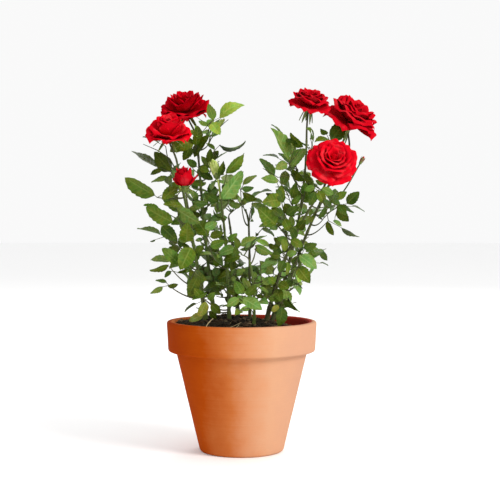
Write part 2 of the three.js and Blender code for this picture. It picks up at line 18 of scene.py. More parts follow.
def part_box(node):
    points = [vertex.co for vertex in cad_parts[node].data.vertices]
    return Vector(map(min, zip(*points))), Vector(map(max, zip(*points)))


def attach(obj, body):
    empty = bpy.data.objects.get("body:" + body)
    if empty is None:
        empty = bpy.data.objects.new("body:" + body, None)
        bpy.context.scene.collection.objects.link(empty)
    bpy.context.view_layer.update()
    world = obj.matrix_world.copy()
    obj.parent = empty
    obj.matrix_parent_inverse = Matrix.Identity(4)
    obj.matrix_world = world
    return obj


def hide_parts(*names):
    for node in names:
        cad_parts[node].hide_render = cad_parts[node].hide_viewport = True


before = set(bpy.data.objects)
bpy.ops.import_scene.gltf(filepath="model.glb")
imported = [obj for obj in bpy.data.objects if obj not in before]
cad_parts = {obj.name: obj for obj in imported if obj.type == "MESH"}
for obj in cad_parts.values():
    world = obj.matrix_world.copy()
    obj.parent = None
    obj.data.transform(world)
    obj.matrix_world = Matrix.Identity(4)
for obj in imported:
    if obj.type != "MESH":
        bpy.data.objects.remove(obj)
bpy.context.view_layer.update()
MM = 0.001  # one millimetre in metres
BODY = "root"

# %% [markdown]
# ## The camera
#
# The view is level with the lower leaves and looks slightly down from a little over a metre away. It could
# be placed by eye, but its numbers follow from the picture: where the horizon would lie, how fast the near
# edge of the pot grows, and how many pixels one millimetre takes at the pot's axis.

# %% Camera
FRAME_PIXELS = 500
SENSOR = 36.0
DISTANCE = 1.220  # from the pot's axis
EYE_HEIGHT = 0.244
EYE_ASIDE = 0.0083
HORIZON_RISE = 43.3  # pixels from the middle of the picture up to the horizon
FOCAL_PIXELS = 1222  # the lens, measured in pixels

tilt = math.atan(HORIZON_RISE / FOCAL_PIXELS)
bpy.ops.object.camera_add(location=(EYE_ASIDE, -DISTANCE, EYE_HEIGHT), rotation=(math.pi / 2 - tilt, 0, 0))
camera = bpy.context.object
camera.data.sensor_width = SENSOR
camera.data.lens = SENSOR * FOCAL_PIXELS / FRAME_PIXELS
bpy.context.scene.camera = camera
print("lens:", round(camera.data.lens, 1), "mm, looks down", round(math.degrees(tilt), 2), "degrees")

# %% [markdown]
# ## A way to write finishes
#
# A finish is a web of shader nodes. It could be wired by hand, but sums read better as sums. The small
# class below wraps one output socket and lets plus, minus and times add the Math nodes. A second class
# holds one material and adds any other node from its type, its settings and its inputs.

# %% Shader sums
class Field:
    """A value that varies over a surface: one output socket in a finish."""

    def __init__(self, finish, socket):
        self.finish = finish
        self.socket = socket

    def __add__(self, other):
        return self.finish.maths("ADD", self, other)

    def __radd__(self, other):
        return self.finish.maths("ADD", other, self)

    def __sub__(self, other):
        return self.finish.maths("SUBTRACT", self, other)

    def __rsub__(self, other):
        return self.finish.maths("SUBTRACT", other, self)

    def __mul__(self, other):
        return self.finish.maths("MULTIPLY", self, other)

    def __rmul__(self, other):
        return self.finish.maths("MULTIPLY", other, self)


# %% A finish
class Finish:
    """A material under construction, with a Principled shader at its end."""

    def __init__(self, name, **constants):
        self.material = bpy.data.materials.new(name)
        self.material.use_nodes = True
        self.nodes = self.material.node_tree.nodes
        self.links = self.material.node_tree.links
        self.shader = self.nodes["Principled BSDF"]
        self.place = None
        self.feed(self.shader, constants)

    def feed(self, node, inputs):
        for key, value in inputs.items():
            socket = node.inputs[key if isinstance(key, int) else key.replace("_", " ")]
            if isinstance(value, Field):
                self.links.new(value.socket, socket)
            elif socket.type == "RGBA" and len(value) == 3:
                socket.default_value = (*value, 1)
            else:
                socket.default_value = value

    def node(self, kind, settings, inputs, output=0):
        node = self.nodes.new(kind)
        for key, value in settings.items():
            setattr(node, key, value)
        self.feed(node, inputs)
        return Field(self, node.outputs[output])

    def maths(self, operation, *values):
        return self.node("ShaderNodeMath", {"operation": operation}, dict(enumerate(values)))

    def mix(self, factor, first, second, blend="MIX"):
        settings = {"data_type": "RGBA", "blend_type": blend}
        return self.node("ShaderNodeMix", settings, {0: factor, 6: first, 7: second}, 2)

    def ramp(self, value, *stops):
        """Colours along a value; each stop is its place and its colour."""
        node = self.nodes.new("ShaderNodeValToRGB")
        elements = node.color_ramp.elements
        for end, (place, colour) in zip((elements[0], elements[-1]), (stops[0], stops[-1])):
            end.position = place
            end.color = (*colour, 1)
        for place, colour in stops[1:-1]:
            elements.new(place).color = (*colour, 1)
        self.links.new(value.socket, node.inputs[0])
        return Field(self, node.outputs[0])

    def step(self, value, low, high):
        """0 below low, 1 above high, and a smooth rise between them."""
        settings = {"interpolation_type": "SMOOTHSTEP"}
        return self.node("ShaderNodeMapRange", settings, {"Value": value, "From_Min": low, "From_Max": high})

    def where(self):
        if self.place is None:
            self.place = self.node("ShaderNodeTexCoord", {}, {}, "Object")
        return self.place

    def axis(self, letter):
        return self.node("ShaderNodeSeparateXYZ", {}, {0: self.where()}, letter)

    def noise(self, per_metre, detail=3.0, roughness=0.5, stretch=(1, 1, 1)):
        place = self.node("ShaderNodeMapping", {}, {"Vector": self.where(), "Scale": stretch})
        inputs = {"Vector": place, "Scale": per_metre, "Detail": detail, "Roughness": roughness}
        return self.node("ShaderNodeTexNoise", {}, inputs)

    def across(self):
        """The two directions of the piece's own map: across from 0 to 1, and along from 0 to 1."""
        chart = self.node("ShaderNodeUVMap", {"uv_map": "chart"}, {})
        return [self.node("ShaderNodeSeparateXYZ", {}, {0: chart}, letter) for letter in "XY"]

    def bump(self, height, distance, strength):
        inputs = {"Height": height, "Distance": distance, "Strength": strength}
        self.feed(self.shader, {"Normal": self.node("ShaderNodeBump", {}, inputs)})

    def colour(self, field):
        self.feed(self.shader, {"Base Color": field})

    def rough(self, field):
        self.feed(self.shader, {"Roughness": field})


# %% [markdown]
# ## Hands for modelling
#
# An operator acts on all that is selected, so the first helper leaves one object selected. Others apply a
# modifier, roughen a surface by one, and finish a piece: its place goes into its mesh, it gets its materials,
# it rides on the model's body, and the plain nodes that it stands for are hidden.

# %% Selecting, applying and finishing
def alone(piece):
    bpy.ops.object.select_all(action="DESELECT")
    piece.select_set(True)
    bpy.context.view_layer.objects.active = piece


def applied(piece, kind, **settings):
    modifier = piece.modifiers.new(kind.lower(), kind)
    for key, value in settings.items():
        setattr(modifier, key, value)
    alone(piece)
    bpy.ops.object.modifier_apply(modifier=modifier.name)


def roughened(piece, name, size, strength, depth=2, **settings):
    """Moves a surface in and out by a cloudy texture."""
    texture = bpy.data.textures.new(name, "CLOUDS")
    texture.noise_scale = size
    texture.noise_depth = depth
    applied(piece, "DISPLACE", texture=texture, texture_coords="LOCAL", strength=strength, **settings)


def finished(piece, finishes, nodes=(), smooth=35):
    alone(piece)
    bpy.ops.object.transform_apply(location=True, rotation=True, scale=True)
    bpy.ops.object.shade_smooth_by_angle(angle=math.radians(smooth))
    piece.data.materials.clear()
    for finish in finishes:
        piece.data.materials.append(finish.material)
    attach(piece, BODY)
    if nodes:
        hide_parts(*nodes)
    print(piece.name, len(piece.data.polygons), "faces")


# %% [markdown]
# ## The clay pot
#
# A clay pot is thrown or pressed as one wall: a tapered body, a wider rim band that makes it easy to lift,
# and a thick floor. It could be turned from a drawn outline, but here a disc is drawn out ring by ring
# instead, as the potter pulls up the wall: each ring is extruded and then widened or narrowed. The
# outline's corners are rounded first, because fired clay has no sharp edge, and its long stretches are cut
# into short ones, so that the wall can wander a little from the perfect circle.

# %% Outlines with rounded corners
def rounded(corners, reach, steps=5):
    corners = [Vector(corner) for corner in corners]
    points = [corners[0]]
    for before, corner, after in zip(corners, corners[1:], corners[2:]):
        start = corner + (before - corner).normalized() * reach
        end = corner + (after - corner).normalized() * reach
        for i in range(steps + 1):
            t = i / steps
            points.append(start * (1 - t) ** 2 + corner * 2 * t * (1 - t) + end * t**2)
    return points + [corners[-1]]


def stepped(points, longest):
    """The same outline with every stretch cut into pieces no longer than that."""
    out = [points[0]]
    for near, far in zip(points, points[1:]):
        count = max(1, math.ceil((far - near).length / longest))
        out += [near.lerp(far, (i + 1) / count) for i in range(count)]
    return out


def drawn_out(name, outline, sides):
    """A closed turned body: its outline is a list of (radius, height)."""
    bpy.ops.object.select_all(action="DESELECT")
    radius, height = outline[0]
    place = (0, 0, height)
    bpy.ops.mesh.primitive_circle_add(vertices=sides, radius=radius, fill_type="NGON", location=place)
    piece = bpy.context.object
    piece.name = name
    bpy.ops.object.mode_set(mode="EDIT")
    for (near, low), (far, high) in zip(outline, outline[1:]):
        bpy.ops.mesh.extrude_region_move(TRANSFORM_OT_translate={"value": (0, 0, high - low)})
        bpy.ops.transform.resize(value=(far / near, far / near, 1), center_override=(0, 0, high))
    bpy.ops.mesh.select_all(action="SELECT")
    bpy.ops.mesh.normals_make_consistent(inside=False)
    bpy.ops.object.mode_set(mode="OBJECT")
    bpy.ops.object.transform_apply(location=True, rotation=True, scale=True)
    return piece


# %% The pot's wall
LIP_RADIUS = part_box("pot")[1].x
POT_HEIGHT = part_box("pot")[1].z
BAND_HEIGHT = 0.030
BAND_TAPER = 0.0016
NECK_RADIUS = 0.0657
FOOT_RADIUS = 0.0418
RIM_THICKNESS = 0.008
WALL_THICKNESS = 0.007
FLOOR_THICKNESS = 0.009
EDGE_ROUND = 0.0028
DISC_SHARE = 0.6  # of a floor's radius, drawn flat before the wall starts
WALL_STRETCH = 0.005
POT_SIDES = 144

band_foot = POT_HEIGHT - BAND_HEIGHT
wall_slope = (NECK_RADIUS - FOOT_RADIUS) / band_foot
inner_foot = FOOT_RADIUS + wall_slope * FLOOR_THICKNESS - WALL_THICKNESS
inner_lip = LIP_RADIUS - RIM_THICKNESS
pot_corners = [
    (FOOT_RADIUS * DISC_SHARE, 0),
    (FOOT_RADIUS, 0),
    (NECK_RADIUS, band_foot),
    (LIP_RADIUS - BAND_TAPER, band_foot),
    (LIP_RADIUS, POT_HEIGHT),
    (inner_lip, POT_HEIGHT),
    (inner_foot, FLOOR_THICKNESS),
    (inner_foot * DISC_SHARE, FLOOR_THICKNESS),
]
outline_of_wall = stepped(rounded(pot_corners, EDGE_ROUND), WALL_STRETCH)
pot = drawn_out("clay_pot", outline_of_wall, POT_SIDES)
roughened(pot, "wander", 0.05, 0.0005)
for vertex in pot.data.vertices:
    vertex.co.z = max(vertex.co.z, 0)  # the foot stands flat


# %% [markdown]
# Terracotta is matt and dusty. Its colour goes from deep orange on the -X side to a pale peach on the +X
# side. This is painted light and shade: paler on the side that the key lamp lights and darker on the side
# away from it, with the clay's own drift and blotches in it. On the inner wall the colour is painted light
# and shade as well: orange where the key lamp reaches, deep red in the shade. Fine rings from the turning run
# round it. The rings are noise squashed flat along the pot's height. They are far too fine for geometry, so
# they are bump and a slight change of colour.

# %% Clay
def clay():
    finish = Finish("terracotta", Specular_IOR_Level=0.03)
    x, y, z = (finish.axis(letter) for letter in "XYZ")
    drift = finish.noise(14, detail=4)
    blotch = finish.noise(45, detail=5, roughness=0.6)
    grain = finish.noise(1100, detail=4, roughness=0.7)
    rings = finish.noise(60, detail=5, roughness=0.7, stretch=(0.05, 0.05, 9))
    # Painted light and shade: paler towards +X, which the key lamp lights, and darker towards -X; drift,
    # blotches and rings are the clay's own variation.
    painted_side_light_and_blotch = (x + 0.065) * 8.3 + (drift - 0.5) * 0.2 + (blotch - 0.5) * 0.22 + (rings - 0.5) * 0.1
    base = finish.ramp(painted_side_light_and_blotch, (0.0, (0.3, 0.036, 0.001)), (0.22, (0.39, 0.06, 0.002)),
                       (0.42, (0.49, 0.138, 0.035)), (0.6, (0.555, 0.235, 0.11)),
                       (0.78, (0.56, 0.295, 0.17)), (1.0, (0.5, 0.265, 0.165)))
    base = finish.mix(finish.step(grain, 0.58, 0.75) * 0.12, base, (0.3, 0.08, 0.02))
    off_wall = finish.maths("SQRT", x * x + y * y) - z * wall_slope
    within = 1 - finish.step(off_wall, inner_foot + 0.0015, inner_foot + 0.004)
    inside = within * finish.step(z, 0.015, 0.03)
    # Painted light and shade on the inner wall: lit orange towards -X, which the key lamp reaches, and deep
    # red in the shade towards +X.
    inner_light_and_shade = finish.ramp(finish.step(x, -0.04, 0.03), (0, (0.5, 0.13, 0.03)), (1, (0.3, 0.01, 0.005)))
    finish.colour(finish.mix(inside * 0.95, base, inner_light_and_shade))
    finish.rough(0.82 + drift * 0.12)
    finish.bump(rings * 0.3 + grain * 0.3 + blotch * 0.35, 0.0006, 0.5)
    return finish


finished(pot, [clay()], ["pot"])

# %% [markdown]
# ## The soil
#
# The pot is filled with dark, barky compost that lies highest round the canes and drops towards the rim.
# One closed plug is drawn out up the wall, then its top is inset in rings that step up to the middle. The
# top is tilted first, because the soil lies higher on one side, and two displacements make it uneven.
# Crumbs and chips of bark are scattered on it later.

# %% The soil's plug
SOIL_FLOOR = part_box("soil")[0].z
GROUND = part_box("soil")[1].z
SOIL_DROP = 0.009
SOIL_LEAN = 0.005
SOIL_SIDES = 96
INTO_WALL = 0.0006  # so that no gap shows along the wall
RINGS_UP = 14
RING_RISE = 0.115  # of the drop, for each ring
LEVEL_TOP = 0.4  # the share of the radius within which the rings stay level

soil_edge = GROUND - SOIL_DROP


def inner_radius(height):
    share = (height - FLOOR_THICKNESS) / (POT_HEIGHT - FLOOR_THICKNESS)
    return inner_foot + (inner_lip - inner_foot) * share


edge_radius = inner_radius(soil_edge) + INTO_WALL
soil_outline = [Vector((inner_foot - MM, SOIL_FLOOR)), Vector((edge_radius, soil_edge))]
soil = drawn_out("soil_bed", soil_outline, SOIL_SIDES)
bpy.ops.object.mode_set(mode="EDIT")
bpy.ops.mesh.select_all(action="DESELECT")
bpy.ops.object.mode_set(mode="OBJECT")
for face in soil.data.polygons:
    face.select = face.normal.z > 0.9
for vertex in soil.data.vertices:
    if vertex.co.z > soil_edge - MM:
        vertex.co.z -= SOIL_LEAN * vertex.co.x / edge_radius
bpy.ops.object.mode_set(mode="EDIT")
for i in range(RINGS_UP):
    step_in = edge_radius / (RINGS_UP + 1)
    outer = 1 - i / (RINGS_UP + 1)
    rise = SOIL_DROP * RING_RISE if outer > LEVEL_TOP else 0
    bpy.ops.mesh.inset(thickness=step_in, depth=0)
    bpy.ops.transform.translate(value=(0, 0, rise))
bpy.ops.object.mode_set(mode="OBJECT")
applied(soil, "SUBSURF", subdivision_type="SIMPLE", levels=1, render_levels=1)
roughened(soil, "heaps", 0.016, 0.006, direction="Z")
roughened(soil, "clods", 0.004, 0.0026)
print("soil top:", round(max(v.co.z for v in soil.data.vertices) / MM, 1), "mm")


# %% Soil and bark finishes
def crumbly(name, dark, light):
    finish = Finish(name, Roughness=0.95, Specular_IOR_Level=0.2)
    patch = finish.noise(420, detail=5, roughness=0.7)
    wide = finish.noise(63, detail=3)
    finish.colour(finish.mix(finish.step(patch * 0.7 + wide * 0.3, 0.4, 0.62), dark, light))
    finish.bump(patch, 0.0015, 0.9)
    return finish


compost = crumbly("compost", (0.012, 0.008, 0.004), (0.05, 0.035, 0.018))
finished(soil, [compost], ["soil"], smooth=60)

# %% [markdown]
# ## Lines that a plant grows along
#
# Canes and shoots follow simple curves through two or three control points. Blender has curve objects, but
# the growing rule has to ask for points and directions along a line many times over, so a small class works
# them out, by the line's own parameter and by its length. From here on the plant is worked out in
# millimetres, as a gardener measures it, and turned into metres when a mesh is made.

# %% Growing lines
class Line:
    """A Bezier line. A share of it is measured by its length."""

    STEPS = 200

    def __init__(self, *points):
        self.points = [Vector(p) for p in points]
        self.times = np.linspace(0, 1, self.STEPS + 1)
        marks = np.array([self.at(t) for t in self.times])
        self.lengths = np.concatenate([[0], np.cumsum(np.linalg.norm(np.diff(marks, axis=0), axis=1))])

    def at(self, t):
        points = self.points
        while len(points) > 1:
            points = [a.lerp(b, t) for a, b in zip(points, points[1:])]
        return points[0]

    def aim(self, t):
        near = self.at(max(t - 0.001, 0))
        return (self.at(min(t + 0.001, 1)) - near).normalized()

    def time(self, share):
        return float(np.interp(share * self.lengths[-1], self.lengths, self.times))

    def along(self, share):
        return self.at(self.time(share))

    def heading(self, share):
        return self.aim(self.time(share))


def draws(seed, count):
    """Repeatable random numbers from 0 to 1."""
    state = (seed * 7919 + 17) % 2147483647
    numbers = []
    for _ in range(count + 2):
        state = state * 16807 % 2147483647
        numbers.append(state / 2147483647)
    return numbers[2:]


def swings(numbers):
    """The same numbers spread from -1 to 1."""
    return [2 * number - 1 for number in numbers]


UP = Vector((0, 0, 1))


def turned(way, axis, degrees):
    return Quaternion(axis, math.radians(degrees)) @ way


# %% [markdown]
# ## The canes
#
# Each cane has a foot in the soil, passes its knee and ends at its tip, and it tapers on the way. On the
# real bush a cane is smooth but for the joints where leaves stood: a slight swelling with a scar. Each cane
# is drawn out straight up like the pot, wider at its foot and at every joint, and a Curve modifier bends it
# along the cane's line. Fine displacement then gives the bark its relief.

# %% Where the canes stand
FOOT_CUT = 3.0  # how deep a cane stands in the soil
FLARE = 0.5  # how much wider its foot is, fading out over the first fifth
CANE_TIP_RADIUS = 1.0
CLEAR = 0.3  # room that the plain model keeps between a stem and what carries it
ground = GROUND / MM

CANES = {
    "left_front": {"foot": (-35, -14), "knee": (-46, -20, 200), "tip": (-63, -27, 288), "radius": 2},
    "left_back": {"foot": (-27, 12), "knee": (-37, 16, 215), "tip": (-45, 20, 310), "radius": 1.9},
    "left_inner": {"foot": (-12, -20), "knee": (-15, -27, 200), "tip": (-20, -34, 252), "radius": 1.6},
    "middle": {"foot": (8, 8), "knee": (8, 9, 180), "tip": (7, 10, 228), "radius": 1.5},
    "front": {"foot": (12, -32), "knee": (12, -42, 162), "tip": (8, -58, 192), "radius": 1.4},
    "back": {"foot": (-4, 38), "knee": (-8, 48, 185), "tip": (-14, 66, 232), "radius": 1.7},
    "right_front": {"foot": (24, -14), "knee": (46, -18, 200), "tip": (80, -18, 262), "radius": 1.9},
    "right_inner": {"foot": (30, 6), "knee": (56, 8, 225), "tip": (65, 8, 312), "radius": 1.8},
    "right_back": {"foot": (36, 26), "knee": (70, 32, 225), "tip": (108, 38, 298), "radius": 1.9},
}


def cane_line(cane):
    start = Vector((*cane["foot"], ground - FOOT_CUT))
    end = Vector(cane["tip"])
    return Line(start, Vector(cane["knee"]) * 2 - start / 2 - end / 2, end)


def cane_radius(cane, share):
    extra = FLARE * cane["radius"] * max(0, 1 - share * 5)
    return cane["radius"] + (CANE_TIP_RADIUS - cane["radius"]) * share + extra


lines = {name: cane_line(cane) for name, cane in CANES.items()}
print("canes:", {name: round(line.lengths[-1]) for name, line in lines.items()}, "mm long")


# %% A cane, drawn out and bent
CANE_SIDES = 12
RING_SPACING = 2.8
JOINT_SWELL = 0.24
JOINT_WIDTH = 1.9
JOINT_EVERY = 17.0


def cane_piece(name, cane, line):
    length = line.lengths[-1]
    rings = round(length / RING_SPACING)
    first_joint = 9 + 8 * draws(len(name), 1)[0]
    joints = np.arange(first_joint, length, JOINT_EVERY)
    profile = []
    for i in range(rings + 1):
        height = length * i / rings
        swell = 1 + JOINT_SWELL * math.exp(-((np.abs(joints - height).min() / JOINT_WIDTH) ** 2))
        profile.append(Vector((cane_radius(cane, i / rings) * swell, height)) * MM)
    piece = drawn_out("bark_" + name, profile, CANE_SIDES)
    bend_along(piece, line)
    roughened(piece, "bark", 0.0035, 0.00035, depth=3)
    return piece


def bend_along(piece, line):
    """A Curve modifier lays the piece, which stands on Z, along the line."""
    start, bend, end = (p * MM for p in line.points)
    bpy.ops.curve.primitive_bezier_curve_add(location=(0, 0, 0))
    guide = bpy.context.object
    near, far = guide.data.splines[0].bezier_points
    for point in (near, far):
        point.handle_left_type = "FREE"
        point.handle_right_type = "FREE"
    near.co = start
    near.handle_right = start.lerp(bend, 2 / 3)  # where a bend by one point puts a handle
    near.handle_left = start - (near.handle_right - start)
    far.co = end
    far.handle_left = end.lerp(bend, 2 / 3)
    far.handle_right = end + (end - far.handle_left)
    guide.data.resolution_u = 64
    guide.data.twist_mode = "Z_UP"
    applied(piece, "CURVE", object=guide, deform_axis="POS_Z")
    bpy.data.objects.remove(guide)


# %% [markdown]
# Young bark is green, and the older, lower part of a cane turns olive and woody. Higher up, near the blooms,
# the colour changes once more: darker on the green canes and the shoots, lighter and greener on the woody
# canes. The three colours follow the height above the table, with noise in between.

# %% Bark
def bark(name, low, high, top=(0.05, 0.055, 0.02)):
    finish = Finish(name, Roughness=0.55, Specular_IOR_Level=0.25)
    streak = finish.noise(500, detail=4, roughness=0.65, stretch=(1, 1, 0.25))
    height = finish.axis("Z") + (streak - 0.5) * 0.05
    young = finish.mix(finish.step(height, 0.17, 0.235), low, high)
    overlaid = finish.mix(finish.step(height, 0.25, 0.31), young, top)
    finish.colour(finish.mix(finish.step(streak, 0.52, 0.72) * 0.45, overlaid, (0.05, 0.035, 0.018)))
    finish.bump(streak, 0.0004, 0.6)
    return finish


GREEN_CANES = ("left_front", "left_back", "left_inner", "front")
green_bark = bark("green_bark", (0.08, 0.115, 0.02), (0.075, 0.11, 0.018))
woody_bark = bark("woody_bark", (0.058, 0.062, 0.018), (0.07, 0.08, 0.02), (0.09, 0.11, 0.03))
for name, cane in CANES.items():
    finish = green_bark if name in GREEN_CANES else woody_bark
    finished(cane_piece(name, cane, lines[name]), [finish], ["cane_" + name], smooth=60)

# %% [markdown]
# ## Many small things
#
# Leaflets, petals, twigs and crumbs come in hundreds. Each could be an object, but then the file would
# drown in them, so every kind is heaped into one joined mesh straight from arrays of points. Two shapes do
# for all: a shell, which is a grid of points given a thickness that runs out at its border, and a round
# stalk along a line of points.

# %% A heap of shells and stalks
class Heap:
    """Points, faces and finishes that become one joined mesh."""

    def __init__(self):
        self.points = []
        self.faces = []
        self.chart = []
        self.tones = []
        self.count = 0

    def add(self, points, faces, chart, tones):
        self.points.append(np.asarray(points, float))
        self.faces += [tuple(i + self.count for i in face) for face in faces]
        self.chart.append(np.asarray(chart, float))
        self.tones += tones
        self.count += len(points)

    def shell(self, grid, thickness, upper=0, under=0):
        """A thin closed body over a grid of points, its tones for the upper side and the underside."""
        rows, columns, _ = grid.shape
        lengthwise = np.gradient(grid, axis=0)
        crosswise = np.gradient(grid, axis=1)
        normal = np.cross(crosswise, lengthwise)
        normal /= np.linalg.norm(normal, axis=2, keepdims=True) + 1e-12
        inside = np.zeros((rows, columns), bool)
        inside[1:-1, 1:-1] = True
        top = np.arange(rows * columns).reshape(rows, columns)
        low = top.copy()
        low[inside] = rows * columns + np.arange(inside.sum())
        half = normal * thickness / 2
        points = np.concatenate([np.where(inside[..., None], grid + half, grid).reshape(-1, 3),
                                 (grid - half)[inside]])
        along, across = np.meshgrid(np.linspace(0, 1, rows), np.linspace(0, 1, columns), indexing="ij")
        chart = np.stack([across, along], axis=2)
        chart = np.concatenate([chart.reshape(-1, 2), chart[inside]])
        cells = [(r, c) for r in range(rows - 1) for c in range(columns - 1)]
        faces = [(top[r, c], top[r, c + 1], top[r + 1, c + 1], top[r + 1, c]) for r, c in cells]
        faces += [(low[r, c], low[r + 1, c], low[r + 1, c + 1], low[r, c + 1]) for r, c in cells]
        self.add(points, faces, chart, [upper] * len(cells) + [under] * len(cells))

    def stalk(self, points, radii, sides, tone=0):
        """A round body along a line of points, with a radius at each."""
        points = np.asarray(points, float)
        ahead = np.gradient(points, axis=0)
        ahead /= np.linalg.norm(ahead, axis=1, keepdims=True)
        steady = np.array([0.3, 0.5, 0.81]) if abs(ahead[0][2]) < 0.9 else np.array([1.0, 0.1, 0])
        right = np.cross(ahead, steady)
        right /= np.linalg.norm(right, axis=1, keepdims=True)
        up = np.cross(right, ahead)
        turn = np.arange(sides) / sides * 2 * math.pi
        rings = [p + r * (np.outer(np.cos(turn), a) + np.outer(np.sin(turn), b))
                 for p, r, a, b in zip(points, radii, right, up)]
        last = len(points) - 1
        faces = []
        for i in range(last):
            near, far = i * sides, (i + 1) * sides
            for k in range(sides):
                j = (k + 1) % sides
                faces.append((near + k, near + j, far + j, far + k))
        faces.append(tuple(range(sides))[::-1])
        faces.append(tuple(last * sides + k for k in range(sides)))
        chart = [(k / sides, i / last) for i in range(last + 1) for k in range(sides)]
        self.add(np.concatenate(rings), faces, chart, [tone] * len(faces))

    def piece(self, name, slot, finishes, nodes, smooth):
        mesh = bpy.data.meshes.new(name)
        mesh.from_pydata((np.concatenate(self.points) * MM).tolist(), [], self.faces)
        chart = np.concatenate(self.chart)
        corners = np.array([loop.vertex_index for loop in mesh.loops])
        mesh.uv_layers.new(name="chart").data.foreach_set("uv", chart[corners].ravel())
        obj = bpy.data.objects.new(name, mesh)
        bpy.context.scene.collection.objects.link(obj)
        alone(obj)
        bpy.ops.object.mode_set(mode="EDIT")
        bpy.ops.mesh.select_all(action="SELECT")
        bpy.ops.mesh.normals_make_consistent(inside=False)
        bpy.ops.object.mode_set(mode="OBJECT")
        finished(obj, finishes, nodes, smooth)
        mesh.polygons.foreach_set("material_index", np.array(self.tones, dtype=np.int32))


# %% [markdown]
# ## How the leaves grow
#
# A shoot leaves its cane at some share of the cane's length and its end leaf reaches to a point. Two more
# leaves stand on its sides, turned round it by half the golden angle. Every leaf has a stalk with an end
# leaflet and one or two pairs, and turns its upper side to the light. The plain model grew its leaves by
# this rule and left off each leaflet that had no room, so the rule is run again here, and a leaflet is kept
# where the plain model has its tip.

# %% The shoots
LEAF_STALK = 31.0
LEAFLET_LENGTH = 28.0
LEAF_TRIES = (0, 26, -26, 52, -52)  # degrees by which a leaf turns away where its place is taken
LEAF_SHARES = (0.42, 0.8)  # where the side leaves stand on a shoot
SIDE_LEAF_SIZE = 0.8
GOLDEN_TURN = 137.5
SHOOT_BEND = 0.45
CROWN_MIDDLE = 5.0

SHOOTS = {
    "left_front": [(0.1, (-60, -32, 148)), (0.24, (-76, -42, 196)), (0.42, (-104, -14, 226)),
                   (0.62, (-94, -42, 246)), (0.78, (-116, -20, 274))],
    "left_back": [(0.14, (-92, 25, 166)), (0.3, (-93, 20, 190)), (0.5, (-62, 80, 226)),
                  (0.7, (-112, 4, 296)), (0.6, (-24, -8, 272)), (0.8, (-36, -22, 308)),
                  (0.95, (4, 24, 348))],
    "left_inner": [(0.22, (-53, -54, 161)), (0.55, (-48, -66, 214)), (0.93, (3, -30, 302))],
    "middle": [(0.35, (-38, 40, 196)), (0.75, (30, -10, 262)), (1, (-4, 12, 276))],
    "front": [(0.3, (-6, -68, 142)), (0.65, (44, -76, 180)), (1, (-20, -84, 216))],
    "back": [(0.2, (-36, 78, 166)), (0.45, (38, 84, 186)), (0.75, (-62, 74, 272)), (1, (0, 92, 258))],
    "right_front": [(0.12, (42, -48, 134)), (0.34, (82, -45, 190)), (0.6, (104, -34, 226)),
                    (0.86, (122, -12, 246))],
    "right_inner": [(0.2, (66, -10, 168)), (0.34, (44, -28, 252)), (0.45, (14, -12, 244)),
                    (0.62, (18, 6, 292)), (0.8, (30, 0, 326)), (0.93, (92, -6, 318))],
    "right_back": [(0.16, (62, 74, 166)), (0.36, (102, 44, 206)), (0.56, (120, 24, 256)),
                   (0.76, (56, 78, 276))],
}


def root_on(name, share, goal):
    """Where a stem that heads for a goal leaves its cane, and which way it leaves."""
    line = lines[name]
    point = line.along(share)
    ahead = line.heading(share)
    if share == 1:
        return point + ahead * CLEAR, ahead
    out = goal - point
    out = (out - ahead * out.dot(ahead)).normalized()
    return point + out * (cane_radius(CANES[name], share) + CLEAR), out


# %% The plan of one leaf
FIVE_FROM = 0.92  # the size from which a leaf has two pairs of side leaflets
TWO_PAIRS = [(0.72, 0.86), (0.36, 0.7)]  # for each pair: its place on the stalk, and its size
ONE_PAIR = [(0.55, 0.84)]
PAIR_SPREAD = 62.0
LEAFLET_ROLL = 22.0
STALK_ARCH = 0.14
STALK_RISE = 0.06
LIGHT = Vector((0.15, -0.7, 0.6))
TURNED_OUT = 0.35  # how much a leaf faces outwards besides facing the light
FACE_SPREAD = 0.6


def leaf_plan(base, tip, roll, luck):
    swing = swings(luck)
    whole = tip - base
    size = whole.length / (LEAF_STALK + LEAFLET_LENGTH)
    along = whole.normalized()
    outward = Vector((base.x - CROWN_MIDDLE, base.y, 0)).normalized()
    face = LIGHT + outward * TURNED_OUT + Vector(swing[:3]) * FACE_SPREAD
    side = turned(face.cross(along).normalized(), along, roll)
    normal = along.cross(side)
    length = LEAF_STALK * size
    arch = base + along * length * 0.5 + normal * length * STALK_ARCH
    end = base + along * length + normal * length * STALK_RISE
    line = Line(base, arch, end)
    leaflets = []

    def add_leaflet(share, hand, scale, k):
        """One leaflet; its random numbers lie round place k."""
        ahead = (tip - end).normalized() if share == 1 else line.aim(share)
        turn = math.radians(hand * PAIR_SPREAD)
        lift = 0.3 * swing[k] - 0.05 if hand else 0
        way = (ahead * math.cos(turn) + side * math.sin(turn) + normal * lift).normalized()
        wide = turned(normal.cross(way).normalized(), way, LEAFLET_ROLL * swing[k + 1])
        leaflets.append({"root": line.at(share), "way": way, "wide": wide, "top": way.cross(wide),
                         "length": LEAFLET_LENGTH * size * scale, "luck": luck[k - 2:k + 3]})

    add_leaflet(1, 0, 1, 4)
    for i, (share, scale) in enumerate(TWO_PAIRS if size > FIVE_FROM else ONE_PAIR):
        add_leaflet(share, 1, scale, 6 + i * 4)
        add_leaflet(share, -1, scale * 0.95, 8 + i * 4)
    return {"line": line, "normal": normal, "leaflets": leaflets, "size": size}


def tip_of(leaflet):
    return leaflet["root"] + leaflet["way"] * leaflet["length"]


def middle_of(leaflet):
    return leaflet["root"] + leaflet["way"] * leaflet["length"] * 0.5


# %% The leaf that the plain model has
SAME_TIP = 0.7  # how near a corner of the plain model has to be


